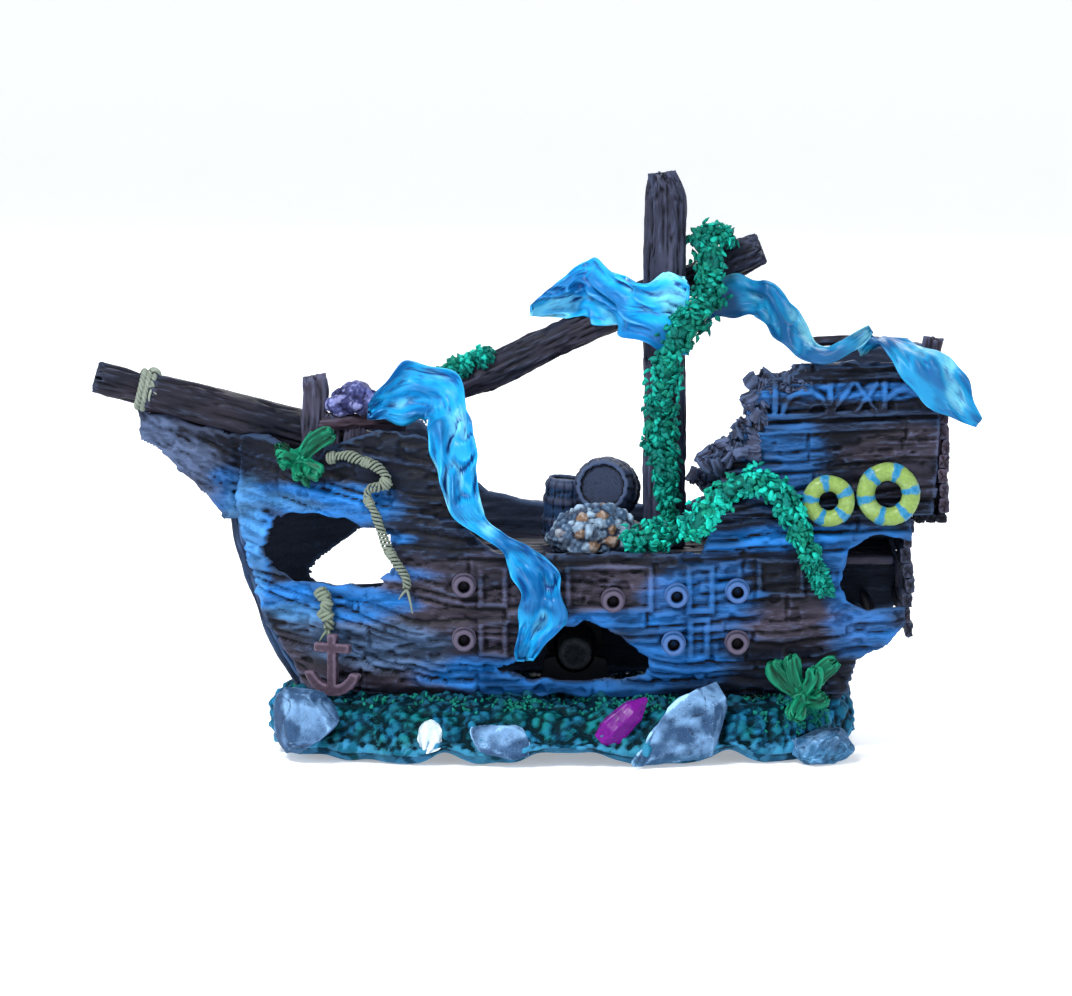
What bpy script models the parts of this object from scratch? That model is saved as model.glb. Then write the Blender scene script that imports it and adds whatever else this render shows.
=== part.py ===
"""Bubbling shipwreck ornament for an aquarium, as separate cast pieces around a pull-out bubbler.

The ship lies along X with its bow at -X and its port side at -Y. Z is up, and the origin is the
middle of the base's flat underside. Dimensions are written in millimetres and turned into metres
where the meshes are made.
"""

import math

import bmesh
import bpy
from mathutils import Matrix, Vector, noise

MM = 0.001
GAP = 0.4  # clearance that neighbouring castings keep

# Driving dimensions, in millimetres
BASE_HALF_LENGTH = 95.0
BASE_HALF_WIDTH = 46.0
BASE_TOP = 19.0
KEEL_Z = BASE_TOP + GAP  # the hull stands on the base
STEM_HEAD_X = -109.0  # foremost point of the hull, at its head
STEM_HEAD_Z = 80.0
STEM_RAKE = 21.0
STERN_X = 112.0
BEAM_HALF = 37.0
WALL = 3.0
WAIST_Z = 69.0  # port gunwale amidships
WALE_Z = 80.0  # where the aftcastle sits on the hull
CASTLE_X = (48.0, 123.6)
CASTLE_TOP = 129.0
MAIN_DECK_Z = 66.0
FORE_DECK_Z = 85.0
POOP_DECK_Z = 118.0
DECK_THICK = 3.0
MAST_X = 34.7
MAST_TOP_Z = 191.5
MAST_RADIUS = (7.0, 5.6)
YARD_ENDS = (Vector((-52.8, 12.5, 109.8)), Vector((67.0, 12.5, 164.3)))
YARD_RADIUS = (5.6, 4.8)
BOWSPRIT_TIP = Vector((-154.0, 0.0, 122.8))
BOWSPRIT_HEEL = Vector((-52.0, 0.0, 95.0))
BOWSPRIT_RADIUS = 6.5
TIP_RADIUS = 5.2
TIP_LENGTH = 20.0
BUBBLER_X = 5.0
BUBBLER_Z = 31.0
STONE_RADIUS = 6.0
COLLAR_BORE = 7.2
COLLAR_RADIUS = 9.5
COLLAR_Y = (18.0, 36.0)
AIR_BORE = 1.2
OUT_OF_STARBOARD = (0, 1, 0)  # the way the bubbler pulls out
SAIL_THICK = 2.4
ANCHOR = (-76.5, -24.5, 30.8)
ANCHOR_TURN = math.radians(-24)
GUN_RADIUS = 3.8
GUNS_PORT = ((-31.4, 58.7), (-31.4, 41.0), (17.2, 54.0), (38.0, 55.4),
             (57.8, 56.7), (37.0, 39.5), (57.8, 39.7))
GUNS_STARBOARD = ((-28.0, 57.0), (8.0, 57.0), (44.0, 57.0))
PORT, STARBOARD = -1, 1

COLOURS = {  # name: (red, green, blue), roughness
    "hull_paint": ((0.06, 0.14, 0.34), 0.6),
    "timber": ((0.14, 0.09, 0.13), 0.7),
    "deck": ((0.04, 0.06, 0.12), 0.7),
    "sail": ((0.03, 0.30, 0.80), 0.45),
    "vine": ((0.01, 0.28, 0.14), 0.6),
    "leaf": ((0.01, 0.42, 0.14), 0.4),
    "rope": ((0.42, 0.45, 0.34), 0.8),
    "iron": ((0.22, 0.12, 0.15), 0.6),
    "ring": ((0.50, 0.62, 0.10), 0.4),
    "gravel": ((0.02, 0.16, 0.20), 0.8),
    "rock": ((0.13, 0.24, 0.44), 0.7),
    "shell": ((0.70, 0.82, 0.92), 0.4),
    "crystal": ((0.45, 0.03, 0.45), 0.2),
    "coral": ((0.42, 0.50, 0.60), 0.7),
    "purple": ((0.14, 0.10, 0.40), 0.6),
    "air_stone": ((0.30, 0.42, 0.55), 0.9),
    "air_plastic": ((0.75, 0.80, 0.82), 0.3),
}


def clear_scene():
    for obj in list(bpy.data.objects):
        bpy.data.objects.remove(obj)


def collection(name, hidden=False):
    made = bpy.data.collections.new(name)
    bpy.context.scene.collection.children.link(made)
    made.hide_render = hidden
    return made


def material(name):
    if name in bpy.data.materials:
        return bpy.data.materials[name]
    colour, roughness = COLOURS[name]
    made = bpy.data.materials.new(name)
    made.use_nodes = True
    shader = made.node_tree.nodes["Principled BSDF"]
    shader.inputs["Base Color"].default_value = (*colour, 1.0)
    shader.inputs["Roughness"].default_value = roughness
    shader.inputs["Metallic"].default_value = 0.0
    return made


def link(name, data, finish):
    obj = bpy.data.objects.new(name, data)
    data.materials.append(material(finish))
    bpy.data.collections["shipwreck_ornament"].objects.link(obj)
    return obj


def mesh_object(name, bm, finish):
    """A new object from a bmesh in millimetres, with its normals facing out."""
    bmesh.ops.recalc_face_normals(bm, faces=bm.faces)
    bmesh.ops.scale(bm, vec=(MM, MM, MM), verts=bm.verts)
    mesh = bpy.data.meshes.new(name)
    bm.to_mesh(mesh)
    bm.free()
    return link(name, mesh, finish)


def meshed(obj):
    """Replaces a curve object with its mesh, welded shut, so that a Boolean can use it."""
    bpy.context.view_layer.update()
    graph = bpy.context.evaluated_depsgraph_get()
    mesh = bpy.data.meshes.new_from_object(obj.evaluated_get(graph))
    bm = bmesh.new()
    bm.from_mesh(mesh)
    bmesh.ops.remove_doubles(bm, verts=bm.verts, dist=0.01 * MM)
    bm.to_mesh(mesh)
    bm.free()
    name, place = obj.name, obj.matrix_world.copy()
    bpy.data.objects.remove(obj)
    solid = bpy.data.objects.new(name, mesh)
    solid.matrix_world = place
    bpy.data.collections["shipwreck_ornament"].objects.link(solid)
    return solid


def grown_copy(obj, grow):
    """A hidden copy of a mesh object, grown by some millimetres along its normals."""
    mesh = obj.data.copy()
    normals = [vert.normal.copy() for vert in mesh.vertices]
    for vert, normal in zip(mesh.vertices, normals):
        vert.co += normal * grow * MM
    copy = bpy.data.objects.new(obj.name + "_grown", mesh)
    copy.matrix_world = obj.matrix_world
    return hide(copy)


def hide(obj):
    """Makes an object a helper for Booleans only."""
    for owner in obj.users_collection:
        owner.objects.unlink(obj)
    bpy.data.collections["cutters"].objects.link(obj)
    obj.hide_render = True
    obj.display_type = "WIRE"
    return obj


def combine(obj, other, operation):
    modifier = obj.modifiers.new(other.name, "BOOLEAN")
    modifier.operation = operation
    modifier.object = hide(other)
    return obj


def cut(obj, cutter):
    return combine(obj, cutter, "DIFFERENCE")


def loft(name, sections, finish):
    """A closed solid through rings of equally many points, in millimetres, capped at both ends."""
    bm = bmesh.new()
    rings = [[bm.verts.new(point) for point in ring] for ring in sections]
    count = len(rings[0])
    for low, high in zip(rings, rings[1:]):
        for i in range(count):
            j = (i + 1) % count
            bm.faces.new((low[i], low[j], high[j], high[i]))
    bm.faces.new(rings[0])
    bm.faces.new(rings[-1])
    return mesh_object(name, bm, finish)


def sheet(name, rows, finish, thickness, offset):
    """An open grid of points with a Solidify modifier."""
    bm = bmesh.new()
    grid = [[bm.verts.new(Vector(point) * MM) for point in row] for row in rows]
    for row, after in zip(grid, grid[1:]):
        for a, b, c, d in zip(row, after, after[1:], row[1:]):
            bm.faces.new((a, b, c, d))
    mesh = bpy.data.meshes.new(name)
    bm.to_mesh(mesh)
    bm.free()
    obj = link(name, mesh, finish)
    solid = obj.modifiers.new("thickness", "SOLIDIFY")
    solid.thickness = thickness * MM
    solid.offset = offset
    solid.use_even_offset = True
    return obj


def plate(name, outline, low, high, finish, axis="Y", holes=()):
    """A flat outline in the plane across axis, with any holes, from low to high along it."""
    curve = bpy.data.curves.new(name, "CURVE")
    curve.dimensions = "2D"
    curve.fill_mode = "BOTH"
    curve.extrude = (high - low) / 2 * MM
    for loop in (outline, *holes):
        spline = curve.splines.new("POLY")
        spline.use_cyclic_u = True
        spline.points.add(len(loop) - 1)
        for point, (a, b) in zip(spline.points, loop):
            point.co = (a * MM, b * MM, 0.0, 1.0)
    obj = link(name, curve, finish)
    quarter = math.pi / 2
    obj.rotation_euler = {"X": (quarter, 0, quarter), "Y": (quarter, 0, 0), "Z": (0, 0, 0)}[axis]
    obj.location["XYZ".index(axis)] = (low + high) / 2 * MM
    return obj


def turned(name, profile, start, direction, finish, sides=16):
    """A profile of (radius, distance along the axis) points on a Screw modifier.

    The profile runs from the far end down its outer side, and is closed where it has a bore.
    """
    bored = profile[0][0] > 0
    corners = [(radius * MM, 0.0, distance * MM) for radius, distance in profile]
    edges = [(i, i + 1) for i in range(len(corners) - 1)]
    if bored:
        edges.append((len(corners) - 1, 0))
    mesh = bpy.data.meshes.new(name)
    mesh.from_pydata(corners, edges, [])
    obj = link(name, mesh, finish)
    obj.location = Vector(start) * MM
    obj.rotation_euler = Vector(direction).to_track_quat("Z", "Y").to_euler()
    screw = obj.modifiers.new("turn", "SCREW")
    screw.steps = sides
    screw.render_steps = sides
    screw.use_merge_vertices = True
    screw.merge_threshold = 0.01 * MM
    return obj


def tube(name, points, radius, finish):
    """A round cord or stem along smooth points, as a bevelled curve with filled caps."""
    curve = bpy.data.curves.new(name, "CURVE")
    curve.dimensions = "3D"
    curve.bevel_depth = radius * MM
    curve.bevel_resolution = 2
    curve.use_fill_caps = True
    spline = curve.splines.new("POLY")
    route = smooth(points)
    spline.points.add(len(route) - 1)
    for point, place in zip(spline.points, route):
        point.co = (*(place * MM), 1.0)
    return link(name, curve, finish)


def smooth(points, steps=4):
    """Points along a Catmull-Rom curve through the given ones."""
    ends = [Vector(p) for p in points]
    ends = [2 * ends[0] - ends[1], *ends, 2 * ends[-1] - ends[-2]]
    route = []
    for a, b, c, d in zip(ends, ends[1:], ends[2:], ends[3:]):
        for t in (k / steps for k in range(steps)):
            bend = (2 * a - 5 * b + 4 * c - d) * t ** 2 + (3 * b - 3 * c + d - a) * t ** 3
            route.append(b + ((c - a) * t + bend) / 2)
    return [*route, ends[-2]]


def boulder(name, centre, size, finish, seed, rough=0.18, detail=2):
    """A lump: an icosphere made uneven by noise, with its three half sizes."""
    bm = bmesh.new()
    bmesh.ops.create_icosphere(bm, subdivisions=detail, radius=1.0)
    for vert in bm.verts:
        wobble = 1 + rough * noise.noise(vert.co * 1.6 + Vector((seed * 7.3, 0, 0)))
        vert.co = Vector(centre) + Matrix.Diagonal(size) @ vert.co * wobble
    return mesh_object(name, bm, finish)


def ring(name, centre, axis, major, minor, finish):
    bpy.ops.mesh.primitive_torus_add(
        major_segments=24, minor_segments=10, major_radius=major * MM, minor_radius=minor * MM,
        location=Vector(centre) * MM, rotation=Vector(axis).to_track_quat("Z", "Y").to_euler())
    obj = bpy.context.object
    obj.name = name
    for owner in obj.users_collection:
        owner.objects.unlink(obj)
    bpy.data.collections["shipwreck_ornament"].objects.link(obj)
    obj.data.materials.append(material(finish))
    obj.data.shade_smooth()
    return obj


def spread(low, high, count):
    return [low + (high - low) * i / count for i in range(count + 1)]


def rectangle(a0, b0, a1, b1):
    return ((a0, b0), (a1, b0), (a1, b1), (a0, b1))


# The hull's form

def stem_x(z):
    """The raked front edge of the hull at a height."""
    rise = max(0.0, 1 - (z - 18.0) / (STEM_HEAD_Z - 18.0))
    return STEM_HEAD_X + STEM_RAKE * rise ** 2


def half_breadth(x, z):
    """Outer half breadth of the hull and castles at a station and height."""
    t = (x - stem_x(z)) / (STERN_X - stem_x(z))
    plan = 1 - max(0.0, 1 - t / 0.5) ** 3.2 - 0.22 * max(0.0, (t - 0.5) / 0.5) ** 2
    swell = min(1.0, (z - 16.0) / 34.0)
    section = 0.55 + 0.45 * math.sin(math.pi / 2 * swell) - 0.0022 * max(0.0, z - 50.0)
    return 4.5 * max(0.0, 1 - t / 0.1) + BEAM_HALF * plan * section


def outermost(x, z, reach):
    """The hull's largest half breadth within reach of a point."""
    around = (-reach, 0.0, reach)
    return max(half_breadth(x + dx, z + dz) for dx in around for dz in around)


def interpolate(x, table):
    for (x0, z0), (x1, z1) in zip(table, table[1:]):
        if x <= x1:
            return z0 + (z1 - z0) * max(0.0, x - x0) / (x1 - x0)
    return table[-1][1]


# Tops of the planking, broken down to the waist amidships, as (x, z)
SHEER_PORT = ((-109, 100), (-97, 102), (-88, 99), (-80, 98), (-77, 102), (-60, 108), (-44, 107),
              (-38, 94), (-29, 75), (-20, WAIST_Z), (46, WAIST_Z), (50, WALE_Z), (STERN_X, WALE_Z))
SHEER_STARBOARD = ((-109, 100), (-97, 102), (-80, 98), (-74, 104), (-46, 105), (-36, 92), (-24, 80),
                   (0, 75), (44, 76), (50, WALE_Z), (STERN_X, WALE_Z))
CASTLE_TOP_PORT = ((48, 98), (57, 102), (61, 122), (76, 125), (80, CASTLE_TOP), (123.6, CASTLE_TOP))
CASTLE_TOP_STARBOARD = ((48, 86), (60, 92), (68, 99), (76, 111), (84, 119), (91, CASTLE_TOP),
                        (123.6, CASTLE_TOP))
HULL_STATIONS = (-109, -106, -102, -97, -91, -85, -80, -77, -68, -60, -52, -44, -38, -29, -20, -4,
                 14, 30, 46, 50, 62, 76, 90, 102, STERN_X)
CASTLE_STATIONS = (48, 52, 57, 61, 68, 76, 80, 91, 102, 113, CASTLE_X[1])

# Holes broken through the planking, as (x, z)
BOW_BREACH_PORT = ((-99, 66), (-95, 78), (-84, 80.5), (-70, 79), (-57, 73), (-55, 64), (-60, 57.5),
                   (-74, 55.5), (-88, 56), (-95, 60))
MID_BREACH_PORT = ((-21, 28), (-14, 32), (-7, 38), (1, 44), (8, 46.5), (16, 44.5), (23, 38),
                   (29, 32), (28, 26), (10, 23.5), (-8, 24))
STERN_BREACH_PORT = ((92, 60), (95, 69), (102, 73.5), (118, 72), (118, 51), (101, 49), (94, 53))
BOW_BREACH_STARBOARD = ((-86, 50), (-80, 60), (-68, 68), (-54, 70), (-45, 62), (-46, 50), (-58, 45),
                        (-76, 44))
AFT_BREACH_STARBOARD = ((62, 46), (68, 58), (78, 62), (88, 56), (90, 46), (80, 40), (68, 40))
STERN_TUCK = ((91, 8), (94, 30), (98, 35), (108, 38.5), (118, 39), (118, 8))


def shell(name, side, stations, low, top, levels):
    """One planked side: an open sheet of the hull's form, thickened inwards."""
    rows = []
    for x in stations:
        row = []
        share = (x - STEM_HEAD_X) / (STERN_X - STEM_HEAD_X)
        for z in spread(low, interpolate(x, top), levels):
            station = stem_x(z) + (STERN_X - stem_x(z)) * share
            row.append((station, side * half_breadth(station, z), z))
        rows.append(row if side == PORT else row[::-1])
    return sheet(name, rows, "hull_paint", WALL, -1.0)


def breach(planking, outline, side):
    """Cuts an outline through one side, leaving the other side whole."""
    low, high = sorted((side * 0.6, side * 60.0))
    cutter = plate(planking.name + "_breach", outline, low, high, "timber")
    return cut(planking, meshed(cutter))


def make_hulls():
    port = shell("hull_port", PORT, HULL_STATIONS, KEEL_Z, SHEER_PORT, 9)
    for outline in (BOW_BREACH_PORT, MID_BREACH_PORT, STERN_BREACH_PORT, STERN_TUCK):
        breach(port, outline, PORT)
    starboard = shell("hull_starboard", STARBOARD, HULL_STATIONS, KEEL_Z, SHEER_STARBOARD, 9)
    for outline in (BOW_BREACH_STARBOARD, AFT_BREACH_STARBOARD, STERN_TUCK):
        breach(starboard, outline, STARBOARD)
    radius = COLLAR_RADIUS + GAP
    seat = turned("collar_seat", ((0, 60), (radius, 60), (radius, 0), (0, 0)),
                  (BUBBLER_X, 2, BUBBLER_Z), OUT_OF_STARBOARD, "timber", 24)
    cut(starboard, seat)


def make_castle_sides():
    low = WALE_Z + GAP
    shell("aftcastle_port", PORT, CASTLE_STATIONS, low, CASTLE_TOP_PORT, 5)
    shell("aftcastle_starboard", STARBOARD, CASTLE_STATIONS, low, CASTLE_TOP_STARBOARD, 5)


def make_decks():
    hatch = rectangle(-32, -9, -14, 9)
    for name, ends, top, inset, holes in (
        ("main_deck", (-40, 110), MAIN_DECK_Z, 1.4, (hatch,)),
        ("fore_deck", (-94, -46), FORE_DECK_Z, 2.2, ()),
        ("poop_deck", (70, 122), POOP_DECK_Z, 1.4, ()),
    ):
        low = top - DECK_THICK
        port = [(x, WALL + inset - half_breadth(x, low)) for x in spread(*ends, 8)]
        outline = port + [(x, -y) for x, y in reversed(port)]
        plate(name, outline, low, top, "deck", "Z", holes)


def make_bulkheads():
    """The panels that stand across the ship, each with its doorway or windows."""
    windows = tuple(rectangle(y, 94, y + 9, 108) for y in (-18, -4.5, 9))
    for name, x, heights, inset, thick, holes in (
        ("forecastle_bulkhead", -43.8, (MAIN_DECK_Z + GAP, 101), 5.2, 2.8, (rectangle(-6, 69, 6, 82),)),
        ("castle_bulkhead", 64.5, (MAIN_DECK_Z + GAP, POOP_DECK_Z - 1), 5.0, WALL,
         (rectangle(-5, 70, 5, 90),)),
        ("transom", STERN_X + GAP, (39.5, WALE_Z - 1), 0.5, WALL, (rectangle(-12, 50, 12, 62),)),
        ("stern_gallery", CASTLE_X[1] + GAP, (WALE_Z + GAP, CASTLE_TOP), 0.5, WALL, windows),
    ):
        port = [(inset - half_breadth(x, z), z) for z in spread(*heights, 4)]
        outline = port + [(-y, z) for y, z in reversed(port)]
        plate(name, outline, x, x + thick, "timber", "X", holes)
    aft, forward = CASTLE_X[1] + GAP + WALL, STERN_X + GAP + WALL + GAP
    half = half_breadth(aft, WALE_Z) - 1
    plate("gallery_floor", rectangle(forward, -half, aft, half), WALE_Z - DECK_THICK, WALE_Z, "deck", "Z")


def make_stem():
    """The curved cutwater ahead of the hull, and the knee that carries the bowsprit."""
    heights = spread(KEEL_Z, 83.0, 8)
    back = [(stem_x(z) - GAP, z) for z in heights]
    front = [(x - 4.5 + 1.5 * (z - KEEL_Z) / 64.0, z) for x, z in reversed(back)]
    plate("stem_post", back + front, -2.6, 2.6, "timber")
    knee = ((-109.6, 83.6), (-109.6, 102.6), (-120, 105.6), (-133, 109.2), (-138, 106), (-137, 100),
            (-124, 92.5), (-114.5, 83.6))
    plate("beakhead", knee, -5, 5, "timber")


def make_bowsprit():
    along = BOWSPRIT_HEEL - BOWSPRIT_TIP
    length = along.length
    turned("bowsprit", ((0, length), (4.0, length), (BOWSPRIT_RADIUS, length - 1),
                        (BOWSPRIT_RADIUS, TIP_LENGTH), (TIP_RADIUS, TIP_LENGTH), (TIP_RADIUS, 1.5),
                        (2.5, 0), (0, 0)), BOWSPRIT_TIP, along, "timber")
    lashing = BOWSPRIT_TIP + along.normalized() * (TIP_LENGTH - 2.2)
    ring("bowsprit_lashing", lashing, along, TIP_RADIUS + 2.0, 1.5, "rope")


def make_spars():
    foot = MAIN_DECK_Z + GAP
    height = MAST_TOP_Z - foot
    turned("mast", ((0, height), (2.0, height), (5.0, height - 3), (MAST_RADIUS[1], height - 8),
                    (6.6, 60), (MAST_RADIUS[0], 0), (0, 0)), (MAST_X, 0, foot), (0, 0, 1), "timber")
    low, high = YARD_ENDS
    length = (high - low).length
    turned("yard", ((0, length), (2.5, length), (YARD_RADIUS[1], length - 2), (5.2, length * 0.6),
                    (YARD_RADIUS[0], 1.5), (3.0, 0), (0, 0)), low, high - low, "timber", 14)


# Torn sailcloth, cast stiff: (centre, half width across the strip)
SAIL_FORE = (((-63, -19, 113.5), (0, 0, 2.5)), ((-57, -19, 117), (0, 1, 7.5)),
             ((-50, -18.5, 118), (0, 1.5, 8.5)), ((-43.5, -18.5, 117.5), (2, 1, 8)),
             ((-38, -20, 114), (5.5, 1, 4.5)), ((-36.5, -27, 111), (6.5, -1, 1)),
             ((-36, -34.6, 106), (6.5, 0, 0)), ((-35, -36.5, 98), (6.2, 0, 0.5)),
             ((-31, -37.6, 87.5), (5.2, 0, 1.5)), ((-24.5, -39.3, 78.5), (4, 0, 2.8)),
             ((-14.5, -40.6, 70), (4.5, 0, 3.5)), ((-7.5, -41.2, 62), (6.5, 0, 2)),
             ((-5, -41.2, 53), (8.5, 0, 0)), ((-9, -40.6, 44), (7.5, 0, 0)), ((-12, -40, 37), (4.5, 0, 0)))
SAIL_MID = (((-10, 12, 140.5), (0, 0, 3.5)), ((-3, 12, 144), (0, 0, 5.5)), ((3, 11.5, 147.5), (0, 0, 6)),
            ((10, 8, 151), (0, 0, 6.5)), ((19, -1, 146), (0, 0, 9)), ((27, -9.3, 144), (0, 0, 10.5)),
            ((35, -10.2, 140.5), (0, 0, 12.5)), ((43, -8.5, 140), (0, 0, 11)))
SAIL_AFT = (((46, 4.5, 147), (0, 0, 6.5)), ((56, 5, 148), (0, 0, 7.5)), ((64, 3, 149), (0, 0, 6)),
            ((72, -2, 144), (3, 0, 6)), ((78, -10, 137), (3, 1, 5)), ((84, -19, 135.5), (3, 2, 4.5)),
            ((92, -26.5, 134.5), (2, 2.5, 3.5)), ((98, -29, 135.5), (1, 1, 3)),
            ((103, -29.5, 139), (1.2, 0.5, 1.5)))
SAIL_STERN = (((100, -8, 133), (4, 4, 0)), ((108, -16, 134), (6, 5, 0)), ((116, -24, 133), (8, 3, 0)),
              ((121, -29.5, 127), (9, 0, 3)), ((126, -30.5, 120), (6, 0, 4)), ((131, -30.5, 114), (4, 0, 3)),
              ((136, -30.5, 108.5), (2, 0, 2)))


def make_sails():
    for name, stations in (("sail_fore", SAIL_FORE), ("sail_mid", SAIL_MID),
                           ("sail_aft", SAIL_AFT), ("sail_stern", SAIL_STERN)):
        rows = [(Vector(centre) - Vector(half), Vector(centre) + Vector(half)) for centre, half in stations]
        sheet(name, rows, "sail", SAIL_THICK, 0.0)


def make_vines():
    tube("vine_mast", ((50, 1, 160), (49, -3, 152), (47.5, -9, 144), (43, -15, 138), (37, -15.8, 131),
                       (34.5, -13.6, 121), (33, -11, 106), (36, -11, 90), (38, -11, 74)), 3.0, "vine")
    tube("vine_deck", ((43, -17, 76), (43, -28, 77), (44.5, -37.8, 79), (53, -38, 89), (63, -37.5, 93),
                       (71, -37.5, 89), (77, -37.5, 79), (82, -38, 68), (86, -38, 57)), 3.0, "vine")
    tube("vine_gunwale", ((36.5, -20, 74), (30, -27, 73.5), (22, -31, 73)), 2.8, "vine")
    tube("vine_yard", ((-38.8, 8.1, 123.5), (-31.8, 8.1, 126.7), (-24.8, 8.1, 129.9)), 2.0, "vine")


def make_plants():
    """Each plant is a root ball with curved leaves joined into it."""
    for name, foot, tips in (
        ("plant_bow", (-86, -23.5, 94), ((-93, -26, 100), (-91, -28, 91), (-78, -26, 101), (-76, -27.5, 90))),
        ("plant_stern", (79, -39, 22), ((71, -40, 36), (79, -42, 37), (86, -41, 34), (91, -40, 29),
                                        (77, -44, 14))),
    ):
        plant = boulder(name, foot, (4.0, 3.2, 3.0), "leaf", 3, 0.1)
        for tip in tips:
            bend = (Vector(foot) + Vector(tip)) / 2 + Vector((0, -1.5, 2.0))
            leaf = meshed(tube(name + "_leaf", (foot, bend, tip), 1.5, "leaf"))
            combine(plant, leaf, "UNION")


def make_life_rings():
    """The two life rings that hang on the aftcastle's port side."""
    for name, x, z, major, minor in (("life_ring_large", 107.0, 88.0, 7.4, 3.1),
                                     ("life_ring_small", 87.5, 86.0, 5.8, 2.8)):
        y = -outermost(x, z, major) - minor - 0.6
        ring(name, (x, y, z), (0.03, -1, 0), major, minor, "ring")


def make_anchor():
    """A flat outline: shank, stock and a pair of curved arms."""
    outer = [(10.0 * math.sin(a), -10.0 * math.cos(a)) for a in spread(0.0, 1.3, 5)]
    inner = [(7.6 * math.sin(a), 0.6 - 7.6 * math.cos(a)) for a in spread(1.15, 0.17, 4)]
    half = [*outer, *inner, (1.2, 4.6), (6.0, 4.6), (6.0, 7.0), (1.2, 7.0), (1.2, 10.0)]
    outline = half + [(-x, z) for x, z in reversed(half[1:])]
    anchor = plate("anchor", outline, -1.2, 1.2, "iron")
    anchor.location = Vector(ANCHOR) * MM
    anchor.rotation_euler.z = ANCHOR_TURN


def against_hull(points, stand_off):
    """Points given as (x, z) on the port side, held off its outer face."""
    return [(x, -half_breadth(x, z) - stand_off, z) for x, z in points]


def make_ropes():
    tube("anchor_rope", against_hull(((-82, 53), (-79, 49), (-78.5, 45.5), (-77.5, 42.5)), 2.7), 1.6, "rope")
    tube("bow_rope", against_hull(((-76, 98), (-71, 94), (-66, 90), (-62, 86), (-59, 79), (-55, 72),
                                   (-51, 65), (-49.5, 58), (-51, 53)), 2.6), 1.6, "rope")


def make_guns(side, places, prefix):
    """Short gun muzzles, each with a blind bore, standing just off the planking."""
    for number, (x, z) in enumerate(places, 1):
        y = side * (outermost(x, z, GUN_RADIUS) + GAP)
        turned(f"{prefix}_{number}", ((0, 1.5), (1.7, 1.5), (1.7, 6), (3.5, 6), (GUN_RADIUS, 0), (0, 0)),
               (x, y, z), (0, side, 0), "iron", 14)


def make_deck_cargo():
    turned("barrel_large", ((0, 20.6), (7.4, 20.6), (7.6, 22), (8.6, 22), (9.6, 19), (10.4, 11), (9.6, 3),
                            (8.6, 0), (0, 0)), (17.0, 15.5, 77.6), (-0.18, -1.0, 0.22), "timber", 18)
    turned("barrel_small", ((0, 19), (4.4, 19), (4.6, 20), (5.4, 20), (6.6, 10), (5.4, 0), (0, 0)),
           (-2.5, 4, MAIN_DECK_Z + GAP), (0, 0, 1), "timber")
    coral = boulder("deck_coral", (9, -15, 70), (14, 6.5, 8), "coral", 5, 0.35, 3)
    below_deck = plate("below_deck", rectangle(-20, -40, 40, 10), 50, MAIN_DECK_Z + GAP, "deck", "Z")
    cut(coral, meshed(below_deck))


def make_forecastle_trim():
    """A bitt and a beam beside the bowsprit, and the purple coral that grows on them."""
    bitt = ((-86, 92), (-80.5, 92), (-80.5, 107), (-49, 107), (-49, 111), (-81, 112), (-81, 120),
            (-83, 122), (-86, 120))
    bitts = meshed(plate("bow_bitts", bitt, -13.6, -9.2, "timber"))
    coral = boulder("purple_coral", (-69, -13, 115.8), (8.0, 4.5, 5.5), "purple", 9, 0.4, 3)
    cut(coral, grown_copy(bitts, GAP))


def base_ring(half_length, half_width, z):
    """A rounded outline with the casting's shallow scallops."""
    points = []
    for angle in spread(0.0, 2 * math.pi, 44)[:-1]:
        c, s = math.cos(angle), math.sin(angle)
        wave = 1 + 0.022 * math.sin(7 * angle + 0.6) + 0.016 * math.sin(13 * angle + 2.0)
        points.append((half_length * wave * math.copysign(abs(c) ** 0.62, c),
                       half_width * wave * math.copysign(abs(s) ** 0.75, s), z))
    return points


def make_base():
    length, width = BASE_HALF_LENGTH, BASE_HALF_WIDTH
    return loft("base_casting", [base_ring(length - 3, width - 3, 0), base_ring(length, width, 4),
                                 base_ring(length - 1, width - 4, 12),
                                 base_ring(length - 6, width - 11, BASE_TOP)], "gravel")


def make_rocks(base):
    """Stones round the base, each trimmed to sit against it and flat on the floor."""
    rocks = [boulder(*rock) for rock in (
        ("rock_bow", (-84, -32, 11.0), (11.5, 13, 12.5), "rock", 1),
        ("rock_small", (-18, -43, 5.2), (10, 5.5, 5), "rock", 2),
        ("rock_stern", (84, -37, 5.5), (12, 8.5, 7.0), "rock", 4),
        ("white_shell", (-44.5, -41.5, 9), (4.6, 5, 6.5), "shell", 7, 0.08),
    )]
    rocks.append(loft("rock_wedge", [
        [(20, -49, 0.6), (52, -47, 0.6), (57, -40, 2), (30, -38, 2)],
        [(28, -46, 9), (52, -45, 12), (56, -39, 12), (34, -37, 10)],
        [(49, -41, 27), (54, -41, 24), (55, -36.5, 24), (50, -36.5, 27)],
    ], "rock"))
    rocks.append(turned("pink_crystal", ((0, 21), (0.8, 21), (4.4, 15), (5.4, 5), (3.6, 0), (0, 0)),
                        (13, -44, 8.0), (0.66, 0.05, 0.62), "crystal", 6))
    socket = grown_copy(base, GAP)
    floor = meshed(plate("floor", rectangle(-150, -90, 150, 90), -30, 0.0, "deck", "Z"))
    for rock in rocks:
        cut(rock, socket)
        cut(rock, floor)


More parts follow.
